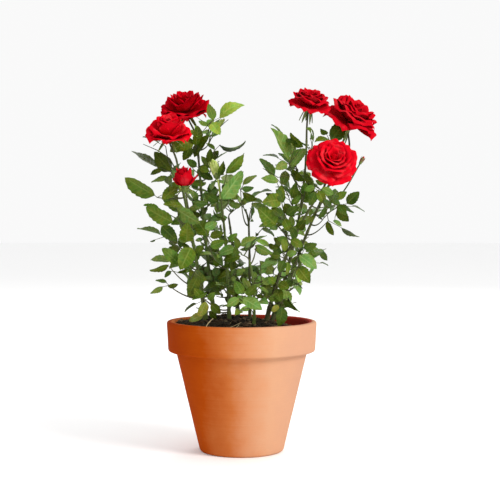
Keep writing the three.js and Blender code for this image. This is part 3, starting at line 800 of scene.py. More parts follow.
def leaf_from_node(tree, base, tip, aimed, seed):
    """The try of which the plain model has the most leaflet tips, with those leaflets."""
    luck = draws(seed, 20)
    best = None
    for swing in LEAF_TRIES:
        goal = tip if aimed else base + turned(tip - base, UP, swing)
        plan = leaf_plan(base, goal, swing if aimed else 0, luck)
        kept = [leaflet for leaflet in plan["leaflets"] if tree.find(tip_of(leaflet))[2] < SAME_TIP]
        if len(kept) > (len(best["leaflets"]) if best else 1):
            best = {**plan, "leaflets": kept}
    return best


# %% Grow every mass
def corners_of(node):
    points = [vertex.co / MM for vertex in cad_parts[node].data.vertices]
    tree = KDTree(len(points))
    for i, point in enumerate(points):
        tree.insert(point, i)
    tree.balance()
    return tree


LEAF_OF_REACH = 0.74  # the end leaf takes no more of a short shoot's reach than this share
END_LEAF_AT = 0.97

shoots = []
for cane, reaches in SHOOTS.items():
    for n, (share, reach) in enumerate(reaches):
        goal = Vector(reach)
        start, out = root_on(cane, share, goal)
        far = (goal - start).length
        leaf = min(LEAF_STALK + LEAFLET_LENGTH, far * LEAF_OF_REACH)
        end = start.lerp(goal, 1 - leaf / far)
        line = Line(start, start + out * (far - leaf) * SHOOT_BEND, end)
        node = f"leaves_{cane}_{n + 1}"
        shoots.append({"node": node, "line": line, "goal": goal, "seed": 10 * (len(shoots) + 1)})


def side_tip(shoot, i):
    turn, climb, reach = draws(shoot["seed"] + i + 1, 3)
    base = shoot["line"].along(LEAF_SHARES[i])
    heading = shoot["goal"] - base
    heading.z = 0
    heading = turned(heading.normalized(), UP, (1 if i else -1) * GOLDEN_TURN * 0.5 + 50 * (turn - 0.5))
    rise = math.radians(12 + 30 * climb)
    length = (LEAF_STALK + LEAFLET_LENGTH) * SIDE_LEAF_SIZE * (0.8 + 0.4 * reach)
    return base, base + heading * length * math.cos(rise) + UP * length * math.sin(rise)


for shoot in shoots:
    tree = corners_of(shoot["node"])
    found = [leaf_from_node(tree, shoot["line"].along(END_LEAF_AT), shoot["goal"], True, shoot["seed"])]
    for i in range(len(LEAF_SHARES)):
        found.append(leaf_from_node(tree, *side_tip(shoot, i), False, shoot["seed"] + i + 5))
    shoot["leaves"] = [leaf for leaf in found if leaf]


def leaflets_of(shoots):
    return [leaflet for shoot in shoots for leaf in shoot["leaves"] for leaflet in leaf["leaflets"]]


print("leaves:", sum(len(shoot["leaves"]) for shoot in shoots), "leaflets:", len(leaflets_of(shoots)))

# %% [markdown]
# ## Sprays that show from the front
#
# The rule gives the crown its body, but a plant is known by its own outermost sprays: the pale new shoot at
# the top, the big leaves at the left, the thin ones that hang out at the right. These are placed one by
# one. Each spray names the cane it grows from, how far up that is, and the joint where its leaflets meet. A
# leaflet is given by its root and its tip, each to the side and up, then by how far it is turned round its
# midrib from facing the viewer, and by its tone. It is as deep in the crown as the joint, unless the depth
# of its tip, and of its root, follow.

# %% Placed sprays
SPRAYS = [
    ("left_back", 0.95, (-31, -4, 328), [(-22, 332, 3, 345, -40, "fresh"), (-28, 330, -33, 346, 30, "mid"),
        (-30, 327, -21, 315, 0, "fresh", -12), (-32, 326, -43, 329, -55, "fresh"),
        (-42, 313, -54, 319, 45, "fresh")]),
    ("left_back", 0.9, (-45, -4, 301), [(-47, 309, -71, 299, 10, "mid"), (-47, 293, -33, 315, -50, "deep"),
        (-46, 304, -43, 324, 40, "deep"), (-44, 314, -46, 324, 40, "fresh"),
        (-51, 305, -58, 290, -30, "deep")]),
    ("left_back", 0.78, (-28, 8, 299), [(-23, 306, 4, 309, 85, "deep"), (-27, 301, -36, 308, 50, "deep"),
        (-25, 292, -15, 299, -80, "deep")]),
    ("left_inner", 0.75, (-19, -44, 250), [(-19, 251, 1, 278, 50, "light"), (-15, 276, 3, 295, 60, "mid"),
        (-22, 249, -36, 257, -35, "deep"), (-22, 273, -17, 288, 55, "deep")]),
    ("left_back", 0.7, (-43, 4, 283), [(-45, 284, -55, 291, 0, "deep", 1),
        (-42, 283, -32, 279, 0, "mid", -2), (-41, 279, -29, 271, 30, "deep")]),
    ("left_inner", 0.45, (-33, -48, 215), [(-35, 223, -23, 229, 10, "light"),
        (-30, 215, -17, 219, -15, "deep"), (-30, 206, -16, 211, 15, "mid"),
        (-37, 207, -44, 197, 15, "deep")]),
    ("left_front", 0.78, (-82, -32, 253), [(-84, 255, -113, 272, -50, "mid"),
        (-62, 263, -77, 251, 20, "mid")]),
    ("left_front", 0.88, (-69, -16, 278), [(-84, 283, -109, 299, 65, "deep"),
        (-69, 279, -86, 298, -25, "deep"), (-71, 272, -89, 268, 55, "mid"),
        (-78, 280, -90, 276, 40, "deep")]),
    ("left_front", 0.58, (-61, -42, 234), [(-66, 229, -92, 243, -40, "mid"), (-56, 244, -75, 247, 55, "mid"),
        (-62, 242, -40, 228, 40, "light"), (-53, 210, -51, 229, 0, "mid", -52)]),
    ("left_front", 0.46, (-74, -30, 215), [(-79, 217, -102, 223, 70, "mid"),
        (-78, 225, -63, 211, 0, "deep", -35), (-84, 212, -89, 210, -60, "deep")]),
    ("left_front", 0.34, (-54, -48, 194), [(-48, 205, -58, 184, 0, "mid", -60),
        (-60, 189, -76, 204, 30, "mid")]),
    ("left_front", 0.24, (-66, -42, 182), [(-70, 188, -88, 182, -65, "mid"), (-68, 182, -74, 176, 25, "mid"),
        (-62, 180, -51, 185, 75, "deep")]),
    ("left_front", 0.17, (-70, -42, 168), [(-76, 167, -88, 160, -55, "light"),
        (-72, 171, -83, 173, 55, "mid"), (-71, 167, -61, 169, 45, "deep")]),
    ("left_front", 0.13, (-38, -52, 168), [(-42, 176, -51, 159, -10, "deep"),
        (-33, 161, -47, 155, 45, "mid")]),
    ("left_inner", 0.12, (-35, -50, 155), [(-43, 151, -55, 143, 70, "deep"),
        (-34, 153, -41, 138, -30, "old"), (-29, 151, -20, 141, 5, "deep"),
        (-32, 155, -25, 162, 0, "mid", -55), (-38, 157, -45, 166, 0, "mid", -57)]),
    ("left_inner", 0.1, (-34, -36, 142), [(-37, 139, -51, 133, 30, "old"),
        (-31, 143, -24, 135, 30, "deep")]),
    ("front", 0.3, (1, -60, 158), [(1, 157, 20, 146, -35, "light"), (-2, 157, -14, 149, 25, "light"),
        (1, 161, -6, 174, 0, "mid", -68), (5, 160, 15, 169, -10, "deep")]),
    ("right_front", 0.14, (39, -46, 154), [(41, 155, 51, 146, 50, "deep"), (45, 157, 56, 142, 75, "deep"),
        (39, 148, 36, 128, -30, "deep"), (36, 149, 29, 143, 0, "old", -48),
        (39, 158, 26, 155, 0, "deep", -50)]),
    ("right_front", 0.38, (56, -38, 190), [(56, 197, 73, 184, -25, "light"),
        (55, 185, 66, 171, 0, "mid", -46), (60, 204, 73, 208, 20, "deep"), (76, 190, 84, 187, -75, "deep"),
        (50, 172, 40, 164, 35, "deep")]),
    ("right_back", 0.62, (97, 12, 244), [(106, 247, 118, 259, 0, "deep", 4),
        (111, 245, 124, 239, -75, "deep"), (102, 247, 113, 238, 70, "mid"), (96, 242, 108, 229, 30, "deep"),
        (92, 230, 101, 224, -45, "light"), (93, 253, 106, 259, 30, "mid"), (93, 250, 84, 258, 25, "light"),
        (90, 243, 81, 251, 0, "deep", 9)]),
    ("right_back", 0.5, (87, 8, 230), [(100, 223, 118, 213, 75, "deep"), (86, 229, 92, 215, 50, "mid"),
        (85, 244, 77, 232, -50, "deep")]),
    ("right_inner", 0.74, (47, -8, 286), [(46, 290, 29, 322, 55, "light"),
        (45, 287, 33, 281, 0, "light", -12), (49, 283, 64, 302, -35, "light"),
        (50, 281, 62, 269, 50, "deep"), (37, 292, 21, 295, 75, "deep"), (61, 303, 48, 317, -55, "mid"),
        (55, 306, 43, 310, 40, "deep")]),
    ("right_inner", 0.52, (38, -18, 258), [(36, 268, 19, 272, 35, "light"),
        (38, 251, 39, 265, 0, "mid", -19), (49, 253, 53, 268, 35, "deep"), (39, 251, 20, 248, 0, "mid", -31),
        (34, 226, 16, 243, 0, "mid", -27), (42, 247, 52, 234, 20, "deep"), (41, 248, 34, 261, 20, "deep"),
        (37, 254, 24, 257, -45, "deep"), (49, 247, 58, 255, 30, "mid")]),
    ("right_inner", 0.42, (42, -24, 234), [(40, 235, 29, 243, 15, "deep"), (44, 236, 56, 244, -15, "deep"),
        (42, 232, 48, 219, 10, "mid")]),
    ("right_front", 0.86, (74, -30, 260), [(75, 260, 81, 247, 10, "mid"), (72, 259, 66, 245, -25, "deep"),
        (78, 262, 90, 256, 20, "light"), (71, 263, 61, 260, 0, "mid", -33)]),
    ("middle", 0.97, (-1, -6, 260), [(1, 266, 15, 275, -50, "light"), (0, 262, 12, 263, 40, "light"),
        (1, 258, 16, 251, 50, "mid"), (-2, 265, 2, 279, -60, "mid")]),
    ("right_inner", 0.36, (50, -30, 213), [(55, 222, 62, 231, 0, "deep", -37),
        (53, 213, 48, 224, 0, "deep", -35), (48, 212, 60, 205, 0, "mid", -32),
        (45, 211, 34, 213, 10, "mid")]),
    ("right_front", 0.3, (41, -40, 194), [(42, 201, 40, 213, 25, "mid"), (44, 197, 53, 201, 0, "light", -44),
        (38, 196, 27, 198, 10, "deep"), (41, 192, 36, 181, 0, "deep", -47), (44, 191, 44, 178, -45, "mid")]),
    ("right_front", 0.2, (35, -44, 169), [(36, 170, 46, 166, 0, "mid", -53),
        (33, 171, 25, 176, 0, "mid", -48), (34, 165, 38, 153, 0, "deep", -50)]),
    ("right_inner", 0.62, (64, -14, 266), [(62, 268, 69, 247, 50, "mid"), (66, 267, 74, 252, 50, "deep"),
        (68, 268, 62, 278, -35, "deep")]),
    ("right_inner", 0.93, (89, 14, 309), [(90, 311, 104, 329, 10, "deep", 36, 22),
        (89, 311, 73, 309, 55, "mid", 5), (86, 317, 79, 322, -45, "mid", 8)]),
    ("left_front", 0.95, (-74, -24, 303), [(-80, 306, -96, 312, 80, "deep")]),
    ("left_inner", 0.6, (-4, -36, 205), [(-5, 204, -24, 197, 40, "light"), (-1, 206, 17, 214, -40, "light"),
        (-13, 211, -4, 218, 20, "mid"), (-1, 196, -18, 192, 30, "deep")]),
    ("front", 0.95, (14, -52, 205), [(13, 207, 30, 199, 50, "light"), (26, 208, 35, 204, 30, "deep")]),
]
TOWARD_VIEWER = Vector((0, -1, 0.1))
SPRAY_LEAN = 0.45  # how far a leaflet may lean to or from the viewer, as a share of its length
SPRAY_SEEDS = 3000

sprays = []
for number, (cane, share, joint, places) in enumerate(SPRAYS):
    joint = Vector(joint)
    start, out = root_on(cane, share, joint)
    spray = {"line": Line(start, start + out * (joint - start).length * 0.4, joint), "joint": joint,
             "leaflets": []}
    for k, (root_x, root_z, tip_x, tip_z, turn, tone, *depths) in enumerate(places):
        luck = draws(SPRAY_SEEDS + 20 * number + k, 6)
        tip_y, root_y = (*depths, joint.y, joint.y)[:2]
        root, tip = Vector((root_x, root_y, root_z)), Vector((tip_x, tip_y, tip_z))
        tip.y += SPRAY_LEAN * (tip - root).length * (luck[5] - 0.5)
        way = (tip - root).normalized()
        wide = turned(TOWARD_VIEWER.cross(way).normalized(), way, turn)
        spray["leaflets"].append({"root": root, "way": way, "wide": wide, "top": way.cross(wide),
                                  "length": (tip - root).length, "luck": [1, *luck[1:5]], "tone": tone})
    sprays.append(spray)
print("sprays:", len(sprays), "leaflets:", sum(len(spray["leaflets"]) for spray in sprays))

# %% [markdown]
# The crown is open in places, and sky shows through. A leaflet of the plain model that would hang in such a
# gap, or right behind or before a placed one, is left off.

# %% Gaps that stay open
PLACED_ROOM = 10.0
PLACED_DEPTH = 32.0
# Gaps as the camera sees them: middle, then reach to the side and up, all at the pot's axis
OPEN_PLACES = [((-4, 228), (11, 13)), ((13, 192), (13, 9)), ((16, 226), (7, 12)), ((-70, 166), (11, 17)),
               ((84, 217), (20, 19)), ((67, 152), (12, 20)), ((-58, 146), (14, 9)), ((4, 281), (12, 14)),
               ((0, 246), (7, 8)), ((84, 324), (10, 10))]


def in_the_open(point):
    nearness = 1 + point.y / (DISTANCE / MM)
    x = point.x / nearness
    z = EYE_HEIGHT / MM + (point.z - EYE_HEIGHT / MM) / nearness
    return any(math.hypot((x - a) / wide, (z - b) / high) < 1 for (a, b), (wide, high) in OPEN_PLACES)


def left_off(leaflet):
    gaps = [middle_of(leaflet) - middle for middle in placed]
    close = any(math.hypot(gap.x, gap.z) < PLACED_ROOM and abs(gap.y) < PLACED_DEPTH for gap in gaps)
    return close or in_the_open(middle_of(leaflet))


placed = [middle_of(leaflet) for spray in sprays for leaflet in spray["leaflets"]]
for shoot in shoots:
    for leaf in shoot["leaves"]:
        leaf["leaflets"] = [leaflet for leaflet in leaf["leaflets"] if not left_off(leaflet)]
    shoot["leaves"] = [leaf for leaf in shoot["leaves"] if leaf["leaflets"]]
print("leaflets kept in the masses:", len(leaflets_of(shoots)))

# %% [markdown]
# ## Finer twigs
#
# Between the big leaves a real shoot carries smaller ones on thin twigs of their own. They grow by the same
# rule from the same stems, shorter and with three leaflets, and they stop where they would leave the
# crown's space, reach into the open notch between its two halves, or sit right on a leaf that is there
# already.

# %% Small leaves in the gaps
CROWN_RADIUS_LOW = 60.0
CROWN_RADIUS_HIGH = 102.0
CROWN_WIDEST = 205.0
CROWN_DEEPER = 1.1  # what depth counts against width
LOWEST_LEAF = 137.0
NOTCH_X = 17.0
NOTCH_FLOOR = 262.0
NOTCH_HALF = 3.0
NOTCH_WIDENING = 0.42
FINE_TRIES = 6
FINE_ROOM = 8.0  # between the middles of leaflets


def in_crown(point):
    widening = min(max((point.z - ground) / (CROWN_WIDEST - ground), 0), 1)
    reach = CROWN_RADIUS_LOW + (CROWN_RADIUS_HIGH - CROWN_RADIUS_LOW) * widening
    out = math.hypot(point.x - CROWN_MIDDLE, point.y * CROWN_DEEPER)
    over = point.z - NOTCH_FLOOR
    notch = over > 0 and abs(point.x - NOTCH_X) < over * NOTCH_WIDENING + NOTCH_HALF
    return point.z > LOWEST_LEAF and out < reach and not notch


def grow_small(base, seed, small, large, front):
    """A leaf between two sizes, or None where no try finds room. No tip comes further forward than front."""
    for k in range(FINE_TRIES):
        luck = draws(seed + 1000 * k, 20)
        turn = 2 * math.pi * luck[15]
        rise = math.radians(5 + 60 * luck[16])
        length = (LEAF_STALK + LEAFLET_LENGTH) * (small + (large - small) * luck[17])
        way = Vector((math.cos(turn) * math.cos(rise), math.sin(turn) * math.cos(rise), math.sin(rise)))
        plan = leaf_plan(base, base + way * length, 0, luck)
        tips = [tip_of(leaflet) for leaflet in plan["leaflets"]]
        own = [middle_of(leaflet) for leaflet in plan["leaflets"]]
        clear = all((middle - other).length > FINE_ROOM for middle in own for other in middles)
        if clear and all(in_crown(tip) and tip.y > front and not in_the_open(tip) for tip in tips):
            middles.extend(own)
            return plan
    return None


# %% Small leaves on the shoots, then on the canes
FINE_SHARES = (0.25, 0.62, 0.9)
FINE_SIZES = (0.42, 0.62)
FINE_FRONT = -5.0  # the front is dressed by the placed sprays
CANE_LEAF_SIZES = (0.36, 0.52)
CANE_LEAF_FIRST = 12.0
CANE_LEAF_SPACING = 11.0
CANE_LEAF_TOP = 232.0
CANE_LEAF_FRONT = -90.0
CANE_LEAF_SEEDS = 7000

middles = [middle_of(leaflet) for leaflet in leaflets_of(shoots)] + placed
for shoot in shoots:
    plans = [grow_small(shoot["line"].along(share), shoot["seed"] + 40 + i, *FINE_SIZES, FINE_FRONT)
             for i, share in enumerate(FINE_SHARES)]
    shoot["leaves"] += [plan for plan in plans if plan]
cane_leaves = []
for number, line in enumerate(lines.values()):
    for i, height in enumerate(np.arange(CANE_LEAF_FIRST, line.lengths[-1], CANE_LEAF_SPACING)):
        base = line.along(height / line.lengths[-1])
        if base.z < CANE_LEAF_TOP:
            seed = CANE_LEAF_SEEDS + 100 * number + i
            cane_leaves.append(grow_small(base, seed, *CANE_LEAF_SIZES, CANE_LEAF_FRONT))
cane_leaves = [plan for plan in cane_leaves if plan]
print("leaves on the shoots:", sum(len(shoot["leaves"]) for shoot in shoots), "on canes:", len(cane_leaves))

# %% [markdown]
# ## The shape of a leaflet
#
# A rose leaflet is oval with a short point and a saw-toothed edge. It folds up a little along its midrib
# and arches down towards its tip. Its outline could be cut from a plane, but three columns of points are
# enough: the midrib and two margins, whose points stand out and draw in by turns to make the teeth. One
# leaflet so has only 48 faces, top and underside together.

# %% Leaflets
LEAFLET_ROWS = 12
LEAFLET_WIDTH = 0.58
LEAF_THICKNESS = 0.35
WIDEST = 0.43
TOOTH_DEPTH = 0.09
TOOTH_SLANT = 0.045
LEAST_HALF = 0.25


def outline(v):
    return (v / WIDEST) ** 0.55 * ((1 - v) / (1 - WIDEST)) ** 0.8


def leaflet_grid(leaflet):
    luck = leaflet["luck"]
    length = leaflet["length"]
    row = np.arange(LEAFLET_ROWS + 1)
    v = row / LEAFLET_ROWS
    point = row % 2 == 1
    tooth = np.where(point, 1.0, 1 - TOOTH_DEPTH)
    breadth = 0.88 + 0.24 * luck[0]
    half = np.maximum(outline(v) * tooth * LEAFLET_WIDTH * length / 2 * breadth, LEAST_HALF)
    forward = np.where(point, TOOTH_SLANT, 0.0) * length * (1 - v)
    arch = 0.16 * luck[1] * length * (v - v * v) * 4 - 0.05 * luck[2] * length * v**3
    fold = 0.12 + 0.28 * luck[3]
    wave = 0.035 * length * np.sin(v * 8 + 6 * luck[4]) * v
    root, way, wide, top = (np.array(leaflet[k]) for k in ("root", "way", "wide", "top"))
    columns = []
    for side in (1, 0, -1):
        reach = np.minimum(v * length + abs(side) * forward, length)
        rise = arch + abs(side) * (half * fold) + side * wave
        columns.append(root + np.outer(reach, way) + np.outer(side * half, wide) + np.outer(rise, top))
    return np.stack(columns, axis=1)


# %% [markdown]
# The bush has leaves of several ages: deep green ones, lighter ones, yellow-green new growth, and a few old
# ones that turn yellow low down. Each whole leaf gets one of these tones, dealt out by its shoot and a
# random number, and each leaflet one of three hues within it. A lighter midrib and side veins follow the
# leaflet's own map, and the underside is paler and matt.

# %% Leaf finishes
def leaf_finish(name, deep, light, vein, roughness):
    finish = Finish(name, Specular_IOR_Level=0.13)
    across, along = finish.across()
    off_rib = finish.maths("ABSOLUTE", across - 0.5) * 2
    rib = 1 - finish.step(off_rib, 0.02, 0.16)
    sweep = finish.maths("FRACT", along * 7 - off_rib * 1.1)
    side_vein = 1 - finish.step(finish.maths("ABSOLUTE", sweep - 0.5), 0.04, 0.2)
    patch = finish.noise(120, detail=4, roughness=0.6)
    base = finish.mix(finish.step(patch, 0.35, 0.65), deep, light)
    greener = finish.step(finish.noise(190, detail=3), 0.43, 0.57)
    base = finish.mix(greener, base, (0.72, 1, 1), "MULTIPLY")
    finish.colour(finish.mix(finish.maths("MAXIMUM", rib * 0.45, side_vein * 0.2), base, vein))
    finish.rough(roughness + patch * 0.2)
    finish.bump(patch * 0.6 - side_vein * 0.35 - rib * 0.6, 0.0006, 0.7)
    return finish


LEAF_TONES = {
    "deep": ((0.03, 0.052, 0.0), (0.052, 0.086, 0.001), (0.11, 0.16, 0.02), 0.4),
    "mid": ((0.058, 0.1, 0.001), (0.095, 0.148, 0.007), (0.18, 0.26, 0.045), 0.4),
    "light": ((0.1, 0.165, 0.018), (0.15, 0.23, 0.04), (0.27, 0.37, 0.11), 0.42),
    "fresh": ((0.185, 0.31, 0.02), (0.25, 0.4, 0.05), (0.36, 0.5, 0.12), 0.45),
    "old": ((0.18, 0.19, 0.015), (0.27, 0.27, 0.05), (0.36, 0.36, 0.12), 0.5),
}
# Each tone in three hues: what red and green are multiplied by, and the share of green that blue gains
LEAF_HUES = {"": (1.12, 1, 0), "_cool": (0.99, 1.01, 0.03), "_warm": (1.22, 0.98, 0)}
UNDERSIDE = len(LEAF_HUES)


def hued(colour, red, green, blue):
    return colour[0] * red, colour[1] * green, colour[2] + colour[1] * blue


def hue_of(leaflet):
    return int(leaflet["luck"][4] * len(LEAF_HUES))


UNDER_COLOURS = ((0.1, 0.155, 0.03), (0.155, 0.215, 0.06), (0.24, 0.31, 0.11))
under_finish = leaf_finish("leaf_underside", *UNDER_COLOURS, 0.6)

# %% Which tone a leaf gets
TONE_SHARES = (("deep", 0.3), ("mid", 0.4), ("light", 0.22), ("fresh", 0.08))
NEW_SHARE = 0.75  # of the leaves on a shoot of new growth
NEW_GROWTH = {"leaves_left_back_7": "fresh", "leaves_right_inner_3": "light", "leaves_middle_2": "light",
              "leaves_right_inner_5": "light", "leaves_left_inner_3": "light"}


def tone_of(node, number):
    if node in NEW_GROWTH and number < NEW_SHARE:
        return NEW_GROWTH[node]
    total = 0
    for tone, share in TONE_SHARES:
        total += share
        if number < total:
            return tone
    return "mid"


# %% One leaf, with its stalk and stipules
STALK_RADII = (0.62, 0.34)
RIB_RADIUS = 0.26
RIB_REACH = 2  # how far a leaflet's own stalk runs on under it
STIPULE_LENGTH = 5.5  # the two green wings at the foot of a leaf's stalk
STIPULE_THICKNESS = 0.25

leaf_heaps = {tone: Heap() for tone in LEAF_TONES}
twigs = Heap()


def line_points(line, count):
    return [line.at(i / (count - 1)) for i in range(count)]


def hang_leaflet(leaflet, tone):
    leaf_heaps[tone].shell(leaflet_grid(leaflet), LEAF_THICKNESS, hue_of(leaflet), UNDERSIDE)


def stipule_grid(leaf, hand):
    base, ahead = leaf["line"].at(0.01), leaf["line"].aim(0.1)
    wide = ahead.cross(leaf["normal"]).normalized() * hand
    length = STIPULE_LENGTH * leaf["size"]
    grid = []
    for v in np.linspace(0, 1, 5):
        edge = base + ahead * length * v + wide * (0.5 + 0.9 * math.sin(v * 2.6))
        grid.append([base + ahead * length * v * 0.9, (base + ahead * length * v + edge) / 2, edge])
    return np.array(grid)


def grow_leaf(leaf, tone, thickness):
    twigs.stalk(line_points(leaf["line"], 6), np.linspace(*STALK_RADII, 6) * thickness, 5)
    for leaflet in leaf["leaflets"]:
        hang_leaflet(leaflet, tone)
        rib = [leaflet["root"] - leaflet["way"] * 0.6, leaflet["root"] + leaflet["way"] * RIB_REACH]
        twigs.stalk(rib, [0.36 * thickness, RIB_RADIUS], 4)
    for hand in (1, -1):
        leaf_heaps[tone].shell(stipule_grid(leaf, hand), STIPULE_THICKNESS, 0, UNDERSIDE)


# %% Heap up leaves and twigs
SUNK = 1.2  # how deep a stem's end is sunk in what carries it
SHOOT_RADIUS = 0.85
SPRAY_RADII = (0.85, 0.45)
TONE_SEEDS = 77
CANE_TONE_SEED = 4001
NO_FRESH = 0.93  # keeps the tone's number below that of new growth

for shoot in shoots:
    line = shoot["line"]
    root = line.points[0] - (line.points[1] - line.points[0]).normalized() * SUNK
    radii = [SHOOT_RADIUS * (1.05 - 0.6 * i / 9) for i in range(10)]
    twigs.stalk([root] + line_points(line, 9), radii, 7)
    numbers = draws(shoot["seed"] + TONE_SEEDS, len(shoot["leaves"]))
    for leaf, number in zip(shoot["leaves"], numbers):
        grow_leaf(leaf, tone_of(shoot["node"], number), min(1.0, 0.55 + 0.5 * leaf["size"]))
for leaf, number in zip(cane_leaves, draws(CANE_TONE_SEED, len(cane_leaves))):
    grow_leaf(leaf, tone_of(None, number * NO_FRESH), 0.8)
for spray in sprays:
    joint = spray["joint"]
    twigs.stalk(line_points(spray["line"], 9), np.linspace(*SPRAY_RADII, 9), 6)
    for leaflet in spray["leaflets"]:
        hang_leaflet(leaflet, leaflet["tone"])
        root = leaflet["root"]
        rib = Line(joint, joint.lerp(root, 0.7), root + leaflet["way"] * RIB_REACH)
        twigs.stalk(line_points(rib, 4), np.linspace(0.42, RIB_RADIUS, 4), 4)
print("leaf points:", {tone: heap.count for tone, heap in leaf_heaps.items()})

# %% Prickles and bare twigs
PRICKLE_EVERY = 13.0
PRICKLE_LENGTH = 1.9
PRICKLE_RADII = (0.55, 0.3, 0.06)
PRICKLE_SEEDS = 5100
TWIG_RADII = (0.7, 0.3)
BARE_TWIGS = [
    ("right_inner", 0.7, [(51, -8, 276), (36, -8, 273), (21, -8, 282)]),
    ("middle", 0.95, [(8, 6, 236), (10, 4, 244), (12, 0, 252)]),
    ("middle", 0.98, [(5, 6, 236), (2, 3, 243), (1, 0, 251)]),
    ("left_front", 0.9, [(-70, -24, 291), (-82, -24, 299), (-96, -24, 305)]),
]
for number, (name, line) in enumerate(lines.items()):
    heights = np.arange(14, line.lengths[-1] * 0.92, PRICKLE_EVERY)
    for height, turn in zip(heights, draws(PRICKLE_SEEDS + number, len(heights))):
        share = height / line.lengths[-1]
        ahead = line.heading(share)
        out = turned(ahead.orthogonal().normalized(), ahead, 360 * turn)
        root = line.along(share) + out * cane_radius(CANES[name], share) * 0.8
        tip = root + out * PRICKLE_LENGTH - ahead * PRICKLE_LENGTH * 0.5
        twigs.stalk([root, root.lerp(tip, 0.5) + ahead * 0.15, tip], PRICKLE_RADII, 5)
for name, share, points in BARE_TWIGS:
    start, out = root_on(name, share, Vector(points[0]))
    points = [start - out * SUNK, *(Vector(point) for point in points)]
    twigs.stalk(points, np.linspace(*TWIG_RADII, len(points)), 5)
print("points of shoots, stalks, prickles and twigs:", twigs.count)

# %% [markdown]
# ## Flower heads
#
# An open bloom has some thirty petals in rings. The outer ones lie almost flat with their tips rolled back,
# and each ring further in stands steeper and wraps closer round the heart. One formula gives every petal:
# its spine is a curve seen from the side, and it is bent round the flower's axis more or less tightly.

# %% Where the heads sit
# The cup stretches a head along its axis, share is the place on its cane, and faces is the way it looks
HEAD_WORDS = ("name", "kind", "radius", "cup", "cane", "share", "at", "faces", "tone")
HEADS = [dict(zip(HEAD_WORDS, row)) for row in (
    ("bloom_left_front", "open", 22.5, 1.15, "left_front", 1, (-71, -27, 313), (0.05, -0.36, 0.93), "bright"),
    ("bloom_left_back", "open", 25.5, 0.92, "left_back", 1, (-56, 20, 340), (-0.08, -0.34, 0.93), "deep"),
    ("bloom_right_front", "open", 25, 0.85, "right_front", 1, (89, -19, 287), (0.14, -0.85, 0.5), "bright"),
    ("bloom_right_inner", "open", 21.5, 0.88, "right_inner", 1, (68, 8, 346), (0.2, -0.3, 0.93), "rich"),
    ("bloom_right_back", "open", 30, 0.9, "right_back", 1, (111, 40, 332.5), (0.5, -0.32, 0.8), "rich"),
    ("bloom_left_small", "half", 10, 1.2, "left_front", 0.55, (-54, -43, 264), (-0.05, -0.15, 0.98), "rich"),
    ("bud_left", "bud", 4.6, 1, "left_inner", 1, (-24, -36, 275), (-0.26, -0.05, 0.96), "green"),
    ("bud_right", "bud", 2.1, 1, "right_back", 0.7, (121, 28, 289), (0.5, -0.1, 0.86), "red"),
)]
RUFFLE = {"bloom_left_front": 0.3}  # how wavy the petals are against the other heads'
HANGING = {"bloom_right_inner": -3.0, "bloom_right_back": -3.0}  # heads whose sepals hang steeply

# %% Rings of petals
# Each ring: how many petals, the spine's four control points as (out, up), half width, and how tightly a
# petal wraps round the axis. All lengths are shares of the head's radius.
PETAL_RINGS = {
    "open": [
        (6, (0.08, -0.03), (0.5, -0.06), (0.84, 0.1), (0.96, 0.2), 0.56, 2.6),
        (5, (0.08, 0.0), (0.48, 0.02), (0.76, 0.28), (0.9, 0.44), 0.58, 2.1),
        (5, (0.08, 0.04), (0.42, 0.08), (0.62, 0.44), (0.76, 0.66), 0.54, 1.7),
        (5, (0.07, 0.08), (0.34, 0.16), (0.45, 0.56), (0.58, 0.8), 0.44, 1.4),
        (4, (0.06, 0.12), (0.24, 0.2), (0.3, 0.6), (0.38, 0.88), 0.38, 1.2),
        (4, (0.04, 0.16), (0.14, 0.24), (0.16, 0.6), (0.2, 0.88), 0.26, 1.1),
        (2, (0.02, 0.2), (0.06, 0.3), (0.06, 0.6), (0.06, 0.84), 0.16, 1.0),
    ],
    "half": [
        (5, (0.1, 0.0), (0.75, 0.05), (1.0, 0.7), (1.12, 1.15), 0.66, 1.3),
        (5, (0.1, 0.1), (0.55, 0.2), (0.82, 0.85), (0.84, 1.5), 0.5, 1.1),
        (4, (0.08, 0.2), (0.4, 0.3), (0.55, 0.95), (0.52, 1.66), 0.45, 1.0),
        (3, (0.06, 0.3), (0.25, 0.4), (0.3, 1.1), (0.22, 1.75), 0.32, 1.0),
    ],
    "bud": [
        (4, (0.1, 1.6), (0.6, 1.9), (0.85, 2.5), (0.25, 3.45), 0.75, 1.0),
    ],
}
REFLEX = {"open": 0.11, "half": 0.1, "bud": 0.0}  # how far the edges roll back
CUSP = {"open": 0.045, "half": 0.012, "bud": 0.0}  # the small point at a petal's tip

# %% Petals
PETAL_ROWS = 11
PETAL_COLUMNS = 12
PETAL_THICKNESS = 0.35
PETAL_LEAN = 0.17
PETAL_TURN = 0.2
WIDEST_PETAL = 0.68  # the share of its length
ROLL_FROM = 0.72


def bezier(t, *points):
    t = np.asarray(t)[..., None]
    a, b, c, d = (np.array(p, float) for p in points)
    return a * (1 - t) ** 3 + b * 3 * t * (1 - t) ** 2 + c * 3 * t**2 * (1 - t) + d * t**3


def spun(x, y, angle):
    cos, sin = math.cos(angle), math.sin(angle)
    return x * cos - y * sin, x * sin + y * cos


